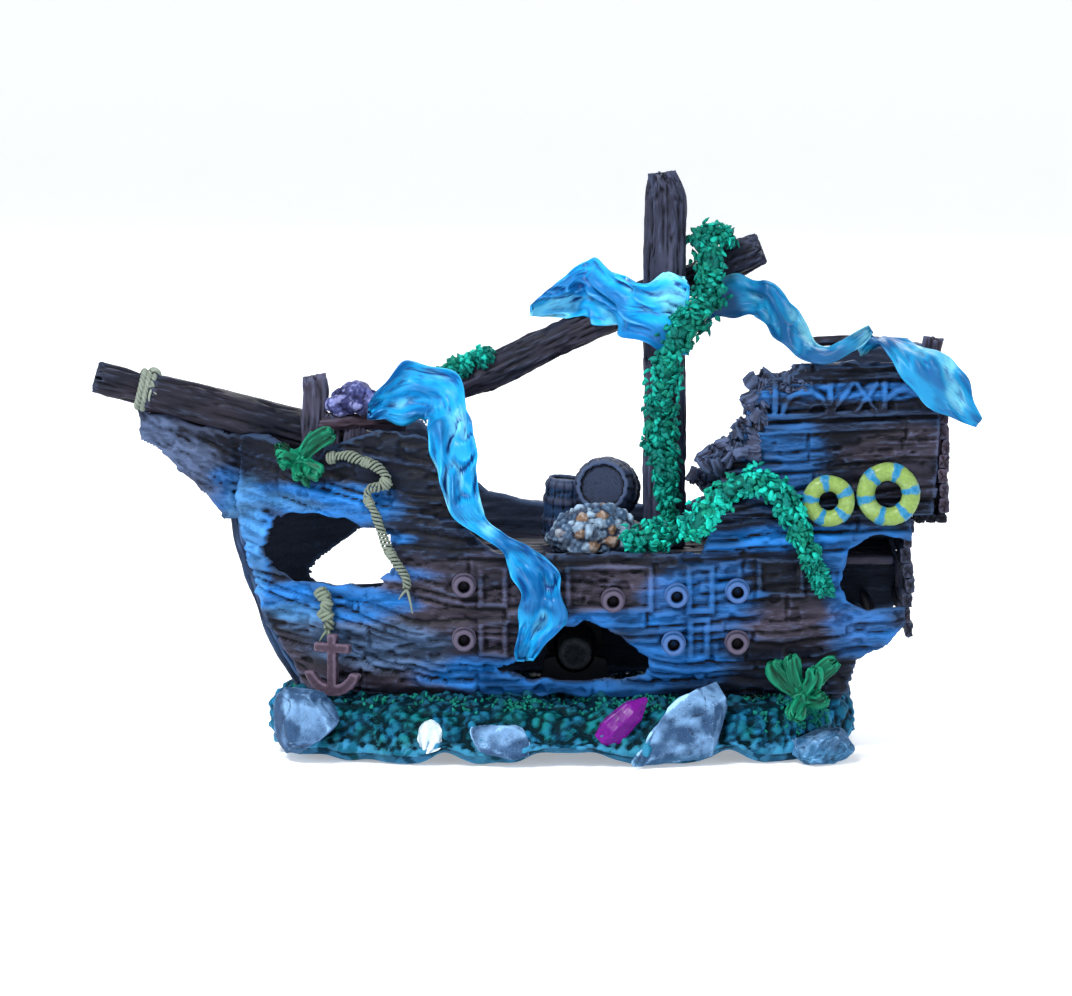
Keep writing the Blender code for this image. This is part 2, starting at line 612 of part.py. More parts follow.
def make_bubbler():
    """The pull-out bubbler: a porous stone on a barbed nipple, its collar and its cradle."""
    centre = (BUBBLER_X, 0, BUBBLER_Z)
    inner, outer = COLLAR_Y
    turned("inlet_collar", ((COLLAR_BORE, outer), (COLLAR_RADIUS, outer), (COLLAR_RADIUS, inner),
                            (COLLAR_BORE, inner)), centre, OUT_OF_STARBOARD, "iron", 28)
    turned("air_stone", ((0, 9), (2.4, 9), (2.4, 17), (5.2, 17), (STONE_RADIUS, 16), (STONE_RADIUS, -7),
                         (4.8, -8), (0, -8)), centre, OUT_OF_STARBOARD, "air_stone", 20)
    flange = outer + GAP
    barbs = [(radius, flange + 2 + 2.4 * barb + step)
             for barb in (2, 1, 0) for radius, step in ((2.1, 2.4), (2.8, 1.0), (2.0, 0.4))]
    turned("air_nipple", ((AIR_BORE, barbs[0][1]), *barbs, (8.8, flange + 2), (8.8, flange), (3.0, flange),
                          (3.0, 19), (2.0, 19), (2.0, 9.6), (AIR_BORE, 9.6)),
           centre, OUT_OF_STARBOARD, "air_plastic", 20)
    groove = STONE_RADIUS + 0.6
    arc = [(BUBBLER_X + groove * math.sin(a), BUBBLER_Z - groove * math.cos(a))
           for a in spread(-1.4, 1.4, 12)]
    top, wide, narrow = BUBBLER_Z - 2, 12, 10
    plate("stone_cradle", [*arc, (BUBBLER_X + narrow, top), (BUBBLER_X + wide, KEEL_Z),
                           (BUBBLER_X - wide, KEEL_Z), (BUBBLER_X - narrow, top)], -5, 4, "iron")


def main():
    clear_scene()
    collection("shipwreck_ornament")
    collection("cutters", hidden=True)
    make_hulls()
    make_castle_sides()
    make_decks()
    make_bulkheads()
    make_stem()
    make_bowsprit()
    make_spars()
    make_sails()
    make_vines()
    make_plants()
    make_life_rings()
    make_anchor()
    make_ropes()
    make_guns(PORT, GUNS_PORT, "cannon_port")
    make_guns(STARBOARD, GUNS_STARBOARD, "cannon_starboard")
    make_deck_cargo()
    make_forecastle_trim()
    make_rocks(make_base())
    make_bubbler()


main()
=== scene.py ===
import math
import bpy
import bmesh
import numpy as np
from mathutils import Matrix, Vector


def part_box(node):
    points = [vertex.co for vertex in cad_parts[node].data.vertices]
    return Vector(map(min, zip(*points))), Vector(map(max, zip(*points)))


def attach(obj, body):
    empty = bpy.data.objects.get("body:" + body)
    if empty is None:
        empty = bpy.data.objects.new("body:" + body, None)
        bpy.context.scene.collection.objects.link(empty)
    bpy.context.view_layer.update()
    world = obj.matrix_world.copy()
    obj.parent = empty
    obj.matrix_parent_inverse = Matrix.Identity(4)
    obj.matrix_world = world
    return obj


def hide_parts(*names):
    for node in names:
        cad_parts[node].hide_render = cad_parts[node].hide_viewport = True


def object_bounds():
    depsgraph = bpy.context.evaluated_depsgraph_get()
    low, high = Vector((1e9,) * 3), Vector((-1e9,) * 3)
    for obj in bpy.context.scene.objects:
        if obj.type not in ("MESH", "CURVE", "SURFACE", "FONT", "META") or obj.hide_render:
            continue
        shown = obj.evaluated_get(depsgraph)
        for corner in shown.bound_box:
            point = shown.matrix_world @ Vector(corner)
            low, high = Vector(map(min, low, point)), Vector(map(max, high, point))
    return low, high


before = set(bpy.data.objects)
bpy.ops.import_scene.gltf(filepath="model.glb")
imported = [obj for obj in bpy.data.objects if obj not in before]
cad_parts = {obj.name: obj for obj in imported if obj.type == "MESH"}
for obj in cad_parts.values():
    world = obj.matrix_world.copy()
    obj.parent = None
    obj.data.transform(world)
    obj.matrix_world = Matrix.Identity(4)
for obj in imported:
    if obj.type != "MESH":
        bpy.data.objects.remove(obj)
CAD_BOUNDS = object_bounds()
MM = 0.001
PORT, STARBOARD = -1, 1
WALL = 3.0
PLANK_PITCH = 4.6


def low(node):
    return np.array(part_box(node)[0]) / MM


def high(node):
    return np.array(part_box(node)[1]) / MM


def middle(node):
    return (low(node) + high(node)) / 2


STEM_HEAD_X, STERN_X = low("hull_port")[0], high("hull_port")[0]
KEEL_Z = low("hull_port")[2]
CASTLE_LOW, CASTLE_HIGH = low("aftcastle_port"), high("aftcastle_port")
STEM_HEAD_Z = 80.0
FOREFOOT_Z = 18.0
BILGE_Z = 16.0
STEM_RAKE = 21.0
BEAM_HALF = 37.0


# Repeatable noise on arrays of points

def cell_number(ix, iy, iz, seed):
    """A repeatable number from 0 to 1 for each whole-number cell."""
    n = (ix * 374761393 + iy * 668265263 + iz * 1274126177 + seed * 144665) & 0xFFFFFFFF
    n = ((n ^ (n >> 13)) * 1103515245) & 0xFFFFFFFF
    n = ((n ^ (n >> 15)) * 668265263) & 0xFFFFFFFF
    return ((n ^ (n >> 16)) & 0xFFFF) / 65535.0


def noise(p, size=1.0, seed=0):
    """Smooth noise from -1 to 1; size is the feature size, one number or three."""
    q = p / np.array(size, float)
    cell = np.floor(q).astype(np.int64)
    f = q - cell
    f = f * f * (3 - 2 * f)
    total = np.zeros(p.shape[:-1])
    for dx in (0, 1):
        for dy in (0, 1):
            for dz in (0, 1):
                wx = f[..., 0] if dx else 1 - f[..., 0]
                wy = f[..., 1] if dy else 1 - f[..., 1]
                wz = f[..., 2] if dz else 1 - f[..., 2]
                corner = cell_number(cell[..., 0] + dx, cell[..., 1] + dy, cell[..., 2] + dz, seed)
                total += wx * wy * wz * corner
    return total * 2 - 1


def fractal(p, size=1.0, octaves=3, seed=0):
    total, weight, amount = 0.0, 0.0, 1.0
    for i in range(octaves):
        total = total + amount * noise(p, np.array(size, float) / 2 ** i, seed + 17 * i)
        weight += amount
        amount *= 0.55
    return total / weight


def cracks(p, size, width=0.12, seed=0):
    """1 along thin wandering lines, falling to 0 beside them."""
    return np.clip(1 - np.abs(fractal(p, size, 2, seed)) / width, 0, 1)


def pebbles(p, size, seed=0):
    """(distance to the nearest scattered centre, that pebble's own number), size apart."""
    q = p / size
    cell = np.floor(q).astype(np.int64)
    best = np.full(p.shape[:-1], 9.0)
    own = np.zeros(p.shape[:-1])
    for dx in (-1, 0, 1):
        for dy in (-1, 0, 1):
            for dz in (-1, 0, 1):
                c = cell + np.array((dx, dy, dz))
                x, y, z = np.moveaxis(c, -1, 0)
                jitter = np.stack([cell_number(x, y, z, seed + s) for s in (1, 2, 3)], -1)
                d = np.linalg.norm(c + jitter - q, axis=-1)
                nearer = d < best
                own = np.where(nearer, jitter[..., 0], own)
                best = np.where(nearer, d, best)
    return best, own


def smooth(low_edge, high_edge, value):
    t = np.clip((value - low_edge) / (high_edge - low_edge), 0, 1)
    return t * t * (3 - 2 * t)


def xyz(x, y, z):
    return np.stack(np.broadcast_arrays(x, y, z), -1).astype(float)


def unit(v):
    return v / np.maximum(np.linalg.norm(v, axis=-1, keepdims=True), 1e-9)


# Paint colours, linear

NAVY = (0.005, 0.008, 0.019)
INK = (0.002, 0.003, 0.007)
MAUVE = (0.038, 0.031, 0.047)
BLUE = (0.003, 0.092, 0.310)
SLATE = (0.045, 0.165, 0.350)
SAIL = (0.008, 0.320, 0.660)


def painted(shape, base, *layers):
    """A base colour with (mask, colour) layers over it."""
    colour = np.broadcast_to(np.array(base, float), (*shape, 3)).copy()
    for mask, over in layers:
        colour += (np.array(over) - colour) * np.clip(mask, 0, 1)[..., None]
    return colour


def airbrush(p, spots, ragged=0.35, seed=5):
    """A soft mask of oval spots in side view: (x, z, half length, half height, amount)."""
    wobble = ragged * fractal(p, (16, 12, 5), 3, seed)
    mask = np.zeros(p.shape[:-1])
    for x, z, rx, rz, amount in spots:
        d = np.sqrt(((p[..., 0] - x) / rx) ** 2 + ((p[..., 2] - z) / rz) ** 2) + wobble
        mask = np.maximum(mask, amount * smooth(1.25, 0.65, d))
    return mask


# Sculpted meshes

def add_object(name, data):
    obj = bpy.data.objects.new(name, data)
    bpy.context.scene.collection.objects.link(obj)
    return obj


def build_mesh(name, points, faces, inward=False):
    """A mesh in metres with all its faces turned outwards, or inwards."""
    mesh = bpy.data.meshes.new(name)
    mesh.from_pydata(points, [], faces)
    bm = bmesh.new()
    bm.from_mesh(mesh)
    bmesh.ops.recalc_face_normals(bm, faces=bm.faces)
    if inward:
        bmesh.ops.reverse_faces(bm, faces=bm.faces)
    bm.to_mesh(mesh)
    bm.free()
    return mesh


def vectors(elements, name):
    """The vectors of a mesh's points or normals, one in each row."""
    out = np.empty(len(elements) * 3, np.float32)
    elements.foreach_get(name, out)
    return out.reshape(-1, 3)


class Sculpt:
    """Gathers patches of points and faces, then becomes one painted piece."""

    def __init__(self):
        self.points, self.faces, self.grain, self.paint, self.wear = [], [], [], [], []
        self.count = 0

    def add(self, points, faces, paint, grain=None, wear=0.0):
        points = np.asarray(points, float).reshape(-1, 3)
        self.points.append(points)
        self.grain.append(points if grain is None else np.asarray(grain, float).reshape(-1, 3))
        self.paint.append(np.broadcast_to(np.asarray(paint, float).reshape(-1, 3), (len(points), 3)))
        self.wear.append(np.broadcast_to(np.asarray(wear, float), (len(points),)))
        self.faces.extend((np.asarray(f) + self.count).tolist() for f in faces if len(f))
        self.count += len(points)

    def finish(self, name, material, node=None, curve=1.0, body="ship"):
        """The piece that stands for a CAD node, if one is named; its slot is named after the material."""
        points = (np.concatenate(self.points) * MM).tolist()
        mesh = build_mesh(name, points, [face for group in self.faces for face in group])
        mesh.shade_smooth()
        write(mesh, "relief", shape_relief(mesh, curve) + np.concatenate(self.wear))
        write(mesh, "grain", np.concatenate(self.grain))
        write(mesh, "paint", np.concatenate(self.paint))
        mesh.materials.append(material)
        obj = add_object(name, mesh)
        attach(obj, body)
        if node:
            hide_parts(node)
        return obj


def write(mesh, name, values):
    """Store one value, vector or, for the paint, colour at each point of a mesh."""
    values = np.asarray(values, np.float32)
    kind, key = ("FLOAT_VECTOR", "vector") if values.ndim == 2 else ("FLOAT", "value")
    if name == "paint":
        kind, key = "FLOAT_COLOR", "color"
        values = np.hstack([values, np.ones((len(values), 1), np.float32)])
    mesh.attributes.new(name, kind, "POINT").data.foreach_set(key, values.ravel())


def shape_relief(mesh, strength):
    """About 0 in hollows, 0.5 on flats and 1 on ridges, from the mesh's own curvature."""
    count = len(mesh.vertices)
    co = vectors(mesh.vertices, "co").astype(float)
    normal = vectors(mesh.vertex_normals, "vector")
    ends = np.empty(len(mesh.edges) * 2, np.int32)
    mesh.edges.foreach_get("vertices", ends)
    a, b = ends.reshape(-1, 2).T
    degree = np.maximum(np.bincount(a, minlength=count) + np.bincount(b, minlength=count), 1)
    edge = np.linalg.norm(co[a] - co[b], axis=1).mean()

    def averaged(v):
        out = np.empty_like(v)
        for i in range(v.shape[1]):
            out[:, i] = (np.bincount(a, v[b, i], count) + np.bincount(b, v[a, i], count)) / degree
        return out

    near = averaged(co)
    bend = np.einsum("ij,ij->i", co - near, normal)[:, None] / edge
    wide = near
    for _ in range(7):
        wide = averaged(wide)
    broad = np.einsum("ij,ij->i", co - wide, normal)[:, None] / edge
    relief = 0.5 + strength * (0.9 * averaged(bend) + 0.30 * broad)
    return np.clip(relief[:, 0], 0, 1)


def grid_faces(rows, columns, wrap=False):
    """Quads over a grid of points stored row by row; wrap joins the last column to the first."""
    i, j = np.meshgrid(np.arange(rows - 1), np.arange(columns if wrap else columns - 1), indexing="ij")
    nxt = (j + 1) % columns
    here, below = i * columns, (i + 1) * columns
    return np.stack([here + j, here + nxt, below + nxt, below + j], -1).reshape(-1, 4)


def tube_faces(rows, count):
    """The faces of a tube of rings, closed at both ends."""
    ring = np.arange(count)[None]
    return grid_faces(rows, count, True), ring[:, ::-1], (rows - 1) * count + ring


def outline(half_width, half_thick, square, count):
    """Evenly spaced points round an oval (square 2) or a rounded box (square 5)."""
    a = np.linspace(0, 2 * math.pi, 721)
    r = (np.abs(np.cos(a)) ** square + np.abs(np.sin(a)) ** square) ** (-1 / square)
    x, y = half_width * r * np.cos(a), half_thick * r * np.sin(a)
    run = np.concatenate([[0], np.cumsum(np.hypot(np.diff(x), np.diff(y)))])
    at = np.linspace(0, run[-1], count + 1)[:-1]
    return np.stack([np.interp(at, run, x) / half_width, np.interp(at, run, y) / half_thick], -1)


def curve_through(points, step):
    """Points on a smooth curve through the given ones, step apart, with their distances."""
    p = np.array(points, float)
    p = np.vstack([2 * p[0] - p[1], p, 2 * p[-1] - p[-2]])
    out = []
    for i in range(1, len(p) - 2):
        t = np.linspace(0, 1, 24, endpoint=False)[:, None]
        a, b, c, d = p[i - 1], p[i], p[i + 1], p[i + 2]
        squared, cubed = 2 * a - 5 * b + 4 * c - d, 3 * b - a - 3 * c + d
        out.append(0.5 * (2 * b + (c - a) * t + squared * t ** 2 + cubed * t ** 3))
    dense = np.vstack([*out, p[-2:-1]])
    run = np.concatenate([[0], np.cumsum(np.linalg.norm(np.diff(dense, axis=0)[:, :3], axis=1))])
    at = np.linspace(0, run[-1], max(3, int(run[-1] / step) + 1))
    return np.stack([np.interp(at, run, dense[:, k]) for k in range(dense.shape[1])], -1), at


def along(path, run, at):
    return np.stack([np.interp(at, run, path[:, k]) for k in range(path.shape[1])], -1)


def swept(path, run, side, up, halves, shape, ends=(0.5, 0.5), seed=0):
    """Rings of points along a path, each (station, round), with ragged ends and closing caps.

    Returns points, outward directions, the grain coordinates and the faces."""
    count = len(shape)
    rng = np.random.default_rng(seed)
    ragged = [e * rng.random(count) ** 1.5 for e in ends]
    cap = np.array([0.12, 0.45, 0.8])
    share = np.linspace(0, 1, len(run))[:, None]
    t = (run[0] + ragged[0]) + share * (run[-1] - ragged[1] - run[0] - ragged[0])
    first = ragged[0] + 0.5 * ends[0] * (rng.random((3, count)) - 0.3) * cap[::-1, None]
    last = run[-1] - ragged[1] - 0.5 * ends[1] * (rng.random((3, count)) - 0.3) * cap[:, None]
    t = np.vstack([run[0] + first, t, last])
    scale = np.vstack([cap[:, None], np.ones((len(run), 1)), cap[::-1, None]])
    centre, sides, ups = (along(v, run, t) for v in (path, side, up))
    half = along(halves, run, t)
    w = half[..., 0] * shape[:, 0] * scale
    h = half[..., 1] * shape[:, 1] * scale
    points = centre + sides * w[..., None] + ups * h[..., None]
    out = unit(sides * (shape[:, 0] / np.maximum(half[..., 0], 0.1))[..., None]
               + ups * (shape[:, 1] / np.maximum(half[..., 1], 0.1))[..., None])
    grain = xyz(t / 7 + 31.7 * seed, w, h)
    return points, out, grain, tube_faces(len(t), count)


def timber(sculpt, points, halves, paint, up=(0, 0, 1), square=2.0, count=28, step=0.9, rough=0.35,
           split=0.6, ends=(1.2, 1.2), seed=1):
    """A weathered log or plank along a path; halves is (half width, half thickness) at each point."""
    halves = np.broadcast_to(np.array(halves, float), (len(points), 2))
    path, run = curve_through(np.hstack([np.array(points, float), halves]), step)
    path, half = path[:, :3], path[:, 3:]
    tangent = unit(np.gradient(path, axis=0))
    side = unit(np.cross(tangent, np.array(up, float)))
    upward = np.cross(side, tangent)
    shape = outline(*half.mean(axis=0), square, count)
    p, out, grain, faces = swept(path, run, side, upward, half, shape, ends, seed)
    size = max(0.35, min(1.0, half.min() / 2.2))
    lump = rough * size * (0.9 * fractal(grain, 1.3, 3, seed) + 0.8 * noise(grain, 3.2, seed + 3))
    lump -= split * size * cracks(grain, (3.2, 1.1, 1.1), 0.16, seed + 9)
    p = p + out * lump[..., None]
    sculpt.add(p, faces, paint(p, seed) if callable(paint) else paint, grain)


def tube_mesh(sculpt, points, radius, paint, count=8, step=0.7, seed=0):
    """A plain round strand with closed ends; radius is one number or one for each point."""
    radii = np.broadcast_to(np.array(radius, float), (len(points),))[:, None]
    path, run = curve_through(np.hstack([np.array(points, float), radii, radii]), step)
    tangent = unit(np.gradient(path[:, :3], axis=0))
    side = unit(np.cross(tangent, (0.31, 0.2, 0.93)))
    p, out, grain, faces = swept(path[:, :3], run, side, np.cross(side, tangent), path[:, 3:],
                                 outline(1, 1, 2, count), (0.2, 0.2), seed)
    sculpt.add(p + out * (0.05 * noise(p, 1.1, seed))[..., None], faces, paint, grain)


# Materials

def feed(tree, node, values):
    """Set a node's inputs: a socket is linked to it, anything else becomes its value."""
    for name, value in values.items():
        if isinstance(value, bpy.types.NodeSocket):
            tree.links.new(value, node.inputs[name])
        else:
            node.inputs[name].default_value = value


def resin(slot, crevice, ridge, rough=(0.42, 0.66), bump=0.35, worn=0.55, mottle=0.35, fine=1.7,
          own=0.55, coat=0.0, speck=0.0, gloss=0.14, streak=0.55):
    """Painted cast resin: the paint attribute, a dark wash in hollows and a dry-brushed ridge colour."""
    made = bpy.data.materials.new(slot + "_finish")
    made.use_nodes = True
    tree = made.node_tree

    def node(kind, values, result, **settings):
        added = tree.nodes.new("ShaderNode" + kind)
        for key, setting in settings.items():
            setattr(added, key, setting)
        feed(tree, added, values)
        return added.outputs[result]

    def texture(scale, detail):
        return node("TexNoise", {"Scale": scale, "Detail": detail, "Roughness": 0.62, "Vector": grain},
            "Fac")

    def ramp(value, a, b, to_a=0.0, to_b=1.0):
        values = {"Value": value, "From Min": a, "From Max": b, "To Min": to_a, "To Max": to_b}
        return node("MapRange", values, "Result", interpolation_type="SMOOTHSTEP")

    def weighted(a, b, weight):
        return node("Math", {0: b, 1: weight, 2: a}, 0, operation="MULTIPLY_ADD")

    def mixed(factor, a, b, blend="MIX"):
        return node("Mix", {"Factor": factor, "A": a, "B": b}, "Result", data_type="RGBA", blend_type=blend)

    grain = node("Attribute", {}, "Vector", attribute_name="grain")
    paint = node("Attribute", {}, "Color", attribute_name="paint")
    relief = node("Attribute", {}, "Fac", attribute_name="relief")
    crevice, ridge = (*crevice, 1), (*ridge, 1)
    fine_noise, large_noise = texture(fine, 5), texture(0.16, 3)
    shade = weighted(weighted(relief, fine_noise, streak), large_noise, 0.25)
    shift = (streak - 0.55) / 2
    body = mixed(ramp(large_noise, 0.35, 0.68, 0.0, mottle), paint, (0.35, 0.42, 0.55, 1), "MULTIPLY")
    body = mixed(ramp(shade, 0.66 + shift, 0.94 + shift), crevice, body)
    brighter = node("VectorMath", {0: paint, "Scale": 2.6}, 0, operation="SCALE")
    body = mixed(ramp(shade, 0.98 + shift, 1.28 + shift, 0.0, worn), body, mixed(own, ridge, brighter))
    if speck:
        body = mixed(ramp(texture(fine * 2.2, 1), 0.66, 0.72, 0.0, speck), body, ridge)
    height = weighted(fine_noise, texture(fine * 3.1, 3), 0.5)
    bumps = node("Bump", {"Strength": bump, "Distance": 0.35 * MM, "Height": height}, "Normal")
    feed(tree, tree.nodes["Principled BSDF"], {
        "Base Color": body, "Roughness": ramp(fine_noise, 0.3, 0.7, *rough), "Specular IOR Level": gloss,
        "Coat Weight": coat, "Coat Roughness": 0.25, "Normal": bumps})
    return made


HULL_FINISH = resin("hull_paint", INK, (0.07, 0.15, 0.32), worn=0.62, own=0.62, streak=0.8)
TIMBER_FINISH = resin("timber", INK, (0.09, 0.13, 0.24), worn=0.5, own=0.6, streak=0.7)
DECK_FINISH = resin("deck", INK, (0.05, 0.065, 0.12), worn=0.4)
SAIL_FINISH = resin("sail", (0.004, 0.055, 0.24), (0.22, 0.68, 0.94), (0.34, 0.5), 0.12, 0.45, 0.3, 0.9,
    gloss=0.25)
VINE_FINISH = resin("vine", (0.0, 0.020, 0.018), (0.02, 0.42, 0.34), (0.36, 0.55), 0.3, 0.4, 0.5,
    gloss=0.08)
LEAF_FINISH = resin("leaf", (0.0, 0.018, 0.010), (0.02, 0.34, 0.20), (0.3, 0.48), 0.25, 0.55, 0.35)
ROPE_FINISH = resin("rope", (0.018, 0.028, 0.026), (0.42, 0.46, 0.36), (0.5, 0.7), 0.4, 0.5, 0.5, 2.6)
IRON_FINISH = resin("iron", INK, (0.15, 0.125, 0.19), (0.38, 0.6), 0.4, 0.6, 0.4, 2.2)
RING_FINISH = resin("ring", (0.05, 0.09, 0.02), (0.45, 0.62, 0.30), (0.24, 0.4), 0.12, 0.4, 0.25, 0.8,
    coat=0.15)
ROCK_FINISH = resin("rock", (0.008, 0.022, 0.060), (0.36, 0.60, 0.86), (0.5, 0.75), 0.55, 0.8, 0.45, 1.9,
    speck=0.35)
GRAVEL_FINISH = resin("gravel", (0.0, 0.010, 0.016), (0.02, 0.27, 0.42), (0.45, 0.7), 0.5, 0.5, 0.5, 1.9,
                      gloss=0.06, speck=0.3)
SHELL_FINISH = resin("shell", (0.16, 0.28, 0.42), (0.90, 0.94, 0.96), (0.3, 0.5), 0.2, 0.6, 0.2, 1.2)
CRYSTAL_FINISH = resin("crystal", (0.04, 0.001, 0.07), (0.46, 0.03, 0.52), (0.16, 0.3), 0.12, 0.6, 0.4, 0.9,
                       coat=0.15, gloss=0.06)
CORAL_FINISH = resin("coral", (0.012, 0.022, 0.045), (0.42, 0.58, 0.74), (0.5, 0.7), 0.45, 0.5, 0.35, 1.8,
    speck=0.2)
PURPLE_FINISH = resin("purple", (0.012, 0.012, 0.05), (0.46, 0.50, 0.86), (0.4, 0.6), 0.4, 0.7, 0.4, 1.6)
# Painted shade: the air stone's wash and ridge colours are kept dark for the shade inside the hull
STONE_FINISH = resin("air_stone", (0.004, 0.006, 0.009), (0.08, 0.10, 0.12), (0.7, 0.9), 0.7, 0.5, 0.3, 2.5,
    speck=0.3)
PLASTIC_FINISH = resin("air_plastic", (0.45, 0.50, 0.52), (0.85, 0.88, 0.90), (0.18, 0.32), 0.06, 0.3, 0.1,
    0.8, coat=0.4)


# The hull's form, the same as the model's

def stem_x(z):
    rise = np.maximum(0.0, 1 - (z - FOREFOOT_Z) / (STEM_HEAD_Z - FOREFOOT_Z))
    return STEM_HEAD_X + 2.2 + 2.4 * smooth(82.0, 55.0, z) + STEM_RAKE * rise ** 2


def half_breadth(x, z):
    t = (x - stem_x(z)) / (STERN_X - stem_x(z))
    plan = 1 - np.maximum(0.0, 1 - t / 0.5) ** 3.2 - 0.22 * np.maximum(0.0, (t - 0.5) / 0.5) ** 2
    swell = np.minimum(1.0, (z - BILGE_Z) / 34.0)
    section = 0.55 + 0.45 * np.sin(math.pi / 2 * swell) - 0.0022 * np.maximum(0.0, z - 50.0)
    return 4.5 * np.maximum(0.0, 1 - t / 0.1) + BEAM_HALF * plan * section


def polygon_distance(x, z, corners):
    """Signed distance from an outline, positive outside it."""
    best = np.full(x.shape, 1e9)
    inside = np.zeros(x.shape, bool)
    for (x0, z0), (x1, z1) in zip(corners, (*corners[1:], corners[0])):
        dx, dz = x1 - x0, z1 - z0
        t = np.clip(((x - x0) * dx + (z - z0) * dz) / (dx * dx + dz * dz), 0, 1)
        best = np.minimum(best, np.hypot(x - x0 - t * dx, z - z0 - t * dz))
        crosses = (z0 > z) != (z1 > z)
        at = x0 + (z - z0) * dx / (dz if dz else 1e-9)
        inside ^= crosses & (x < at)
    return np.where(inside, -best, best)


def strake(x, z, pitch=PLANK_PITCH):
    """Which plank of the side a point is on, and how far across it: planks rise towards the ends."""
    p = xyz(x, 0, z)
    s = (z - 16.0 * np.clip((-28 - x) / 80, 0, 1) ** 1.7
        - 5.0 * np.clip((x - 20) / 95, 0, 1) ** 1.6) / pitch
    s = s + 0.50 * noise(p, (26, 1, 11), 3) + 0.30 * np.sin(s * 2.1) + 0.20 * noise(p, (8, 1, 6), 13)
    return np.floor(s).astype(np.int64), s - np.floor(s)


def plank_own(x, z, seed):
    """A repeatable number for the plank that a point is on."""
    number, _ = strake(x, z)
    return cell_number(number, 0 * number, 0 * number, seed)


def side_at(x, z):
    """The half breadth at one place, as a plain number."""
    return float(half_breadth(np.float64(x), np.float64(z)))


def bars(x, z, boxes, wide=1.7):
    """1 on the raised bars round each box (x0, x1, z0, z1), 0 elsewhere."""
    mask = np.zeros(x.shape)
    for x0, x1, z0, z1 in boxes:
        from_edge = np.maximum(np.abs(x - (x0 + x1) / 2) - (x1 - x0) / 2,
                               np.abs(z - (z0 + z1) / 2) - (z1 - z0) / 2)
        mask = np.maximum(mask, smooth(wide / 2 + 0.45, wide / 2 - 0.25, np.abs(from_edge)))
    return mask


def plank_relief(x, z, seed, pitch=PLANK_PITCH):
    """Height of the planking over a smooth side, in mm."""
    number, across = strake(x, z, pitch)
    none = 0 * number
    seam = smooth(0.0, 0.30, 0.5 - np.abs(across - 0.5))
    length = 30 + 34 * cell_number(number, none, none, seed + 1)
    shifted = x / length + 9 * cell_number(number, none, none, seed + 2)
    piece = np.floor(shifted).astype(np.int64)
    butt = smooth(0.0, 1.1, (0.5 - np.abs(shifted - piece - 0.5)) * length)
    lift = cell_number(number, piece, none, seed + 3) - 0.5
    p = xyz(x, 0, z)
    split = 1 - smooth(0.0, 0.10, np.abs(across - 0.3 - 0.4 * cell_number(number, piece, none, seed + 7)))
    split *= smooth(-0.1, 0.3, noise(p, (16, 20, 4), seed + 8))
    deep = 0.45 + 0.75 * smooth(-0.3, 0.4, noise(p, (19, 20, 9), seed + 11))
    relief = deep * np.minimum(seam, 0.25 + 0.75 * butt) + 1.5 * lift - 0.5 * split
    relief += 0.55 * fractal(p, (6, 9, 2.6), 3, seed + 4) + 1.3 * noise(p, (12, 20, 7), seed + 5)
    chips = smooth(0.22, 0.45, fractal(p, (7, 9, 3.6), 2, seed + 9))
    return relief - 0.5 * cracks(p, (26, 9, 4.4), 0.08, seed + 6) - 1.0 * chips


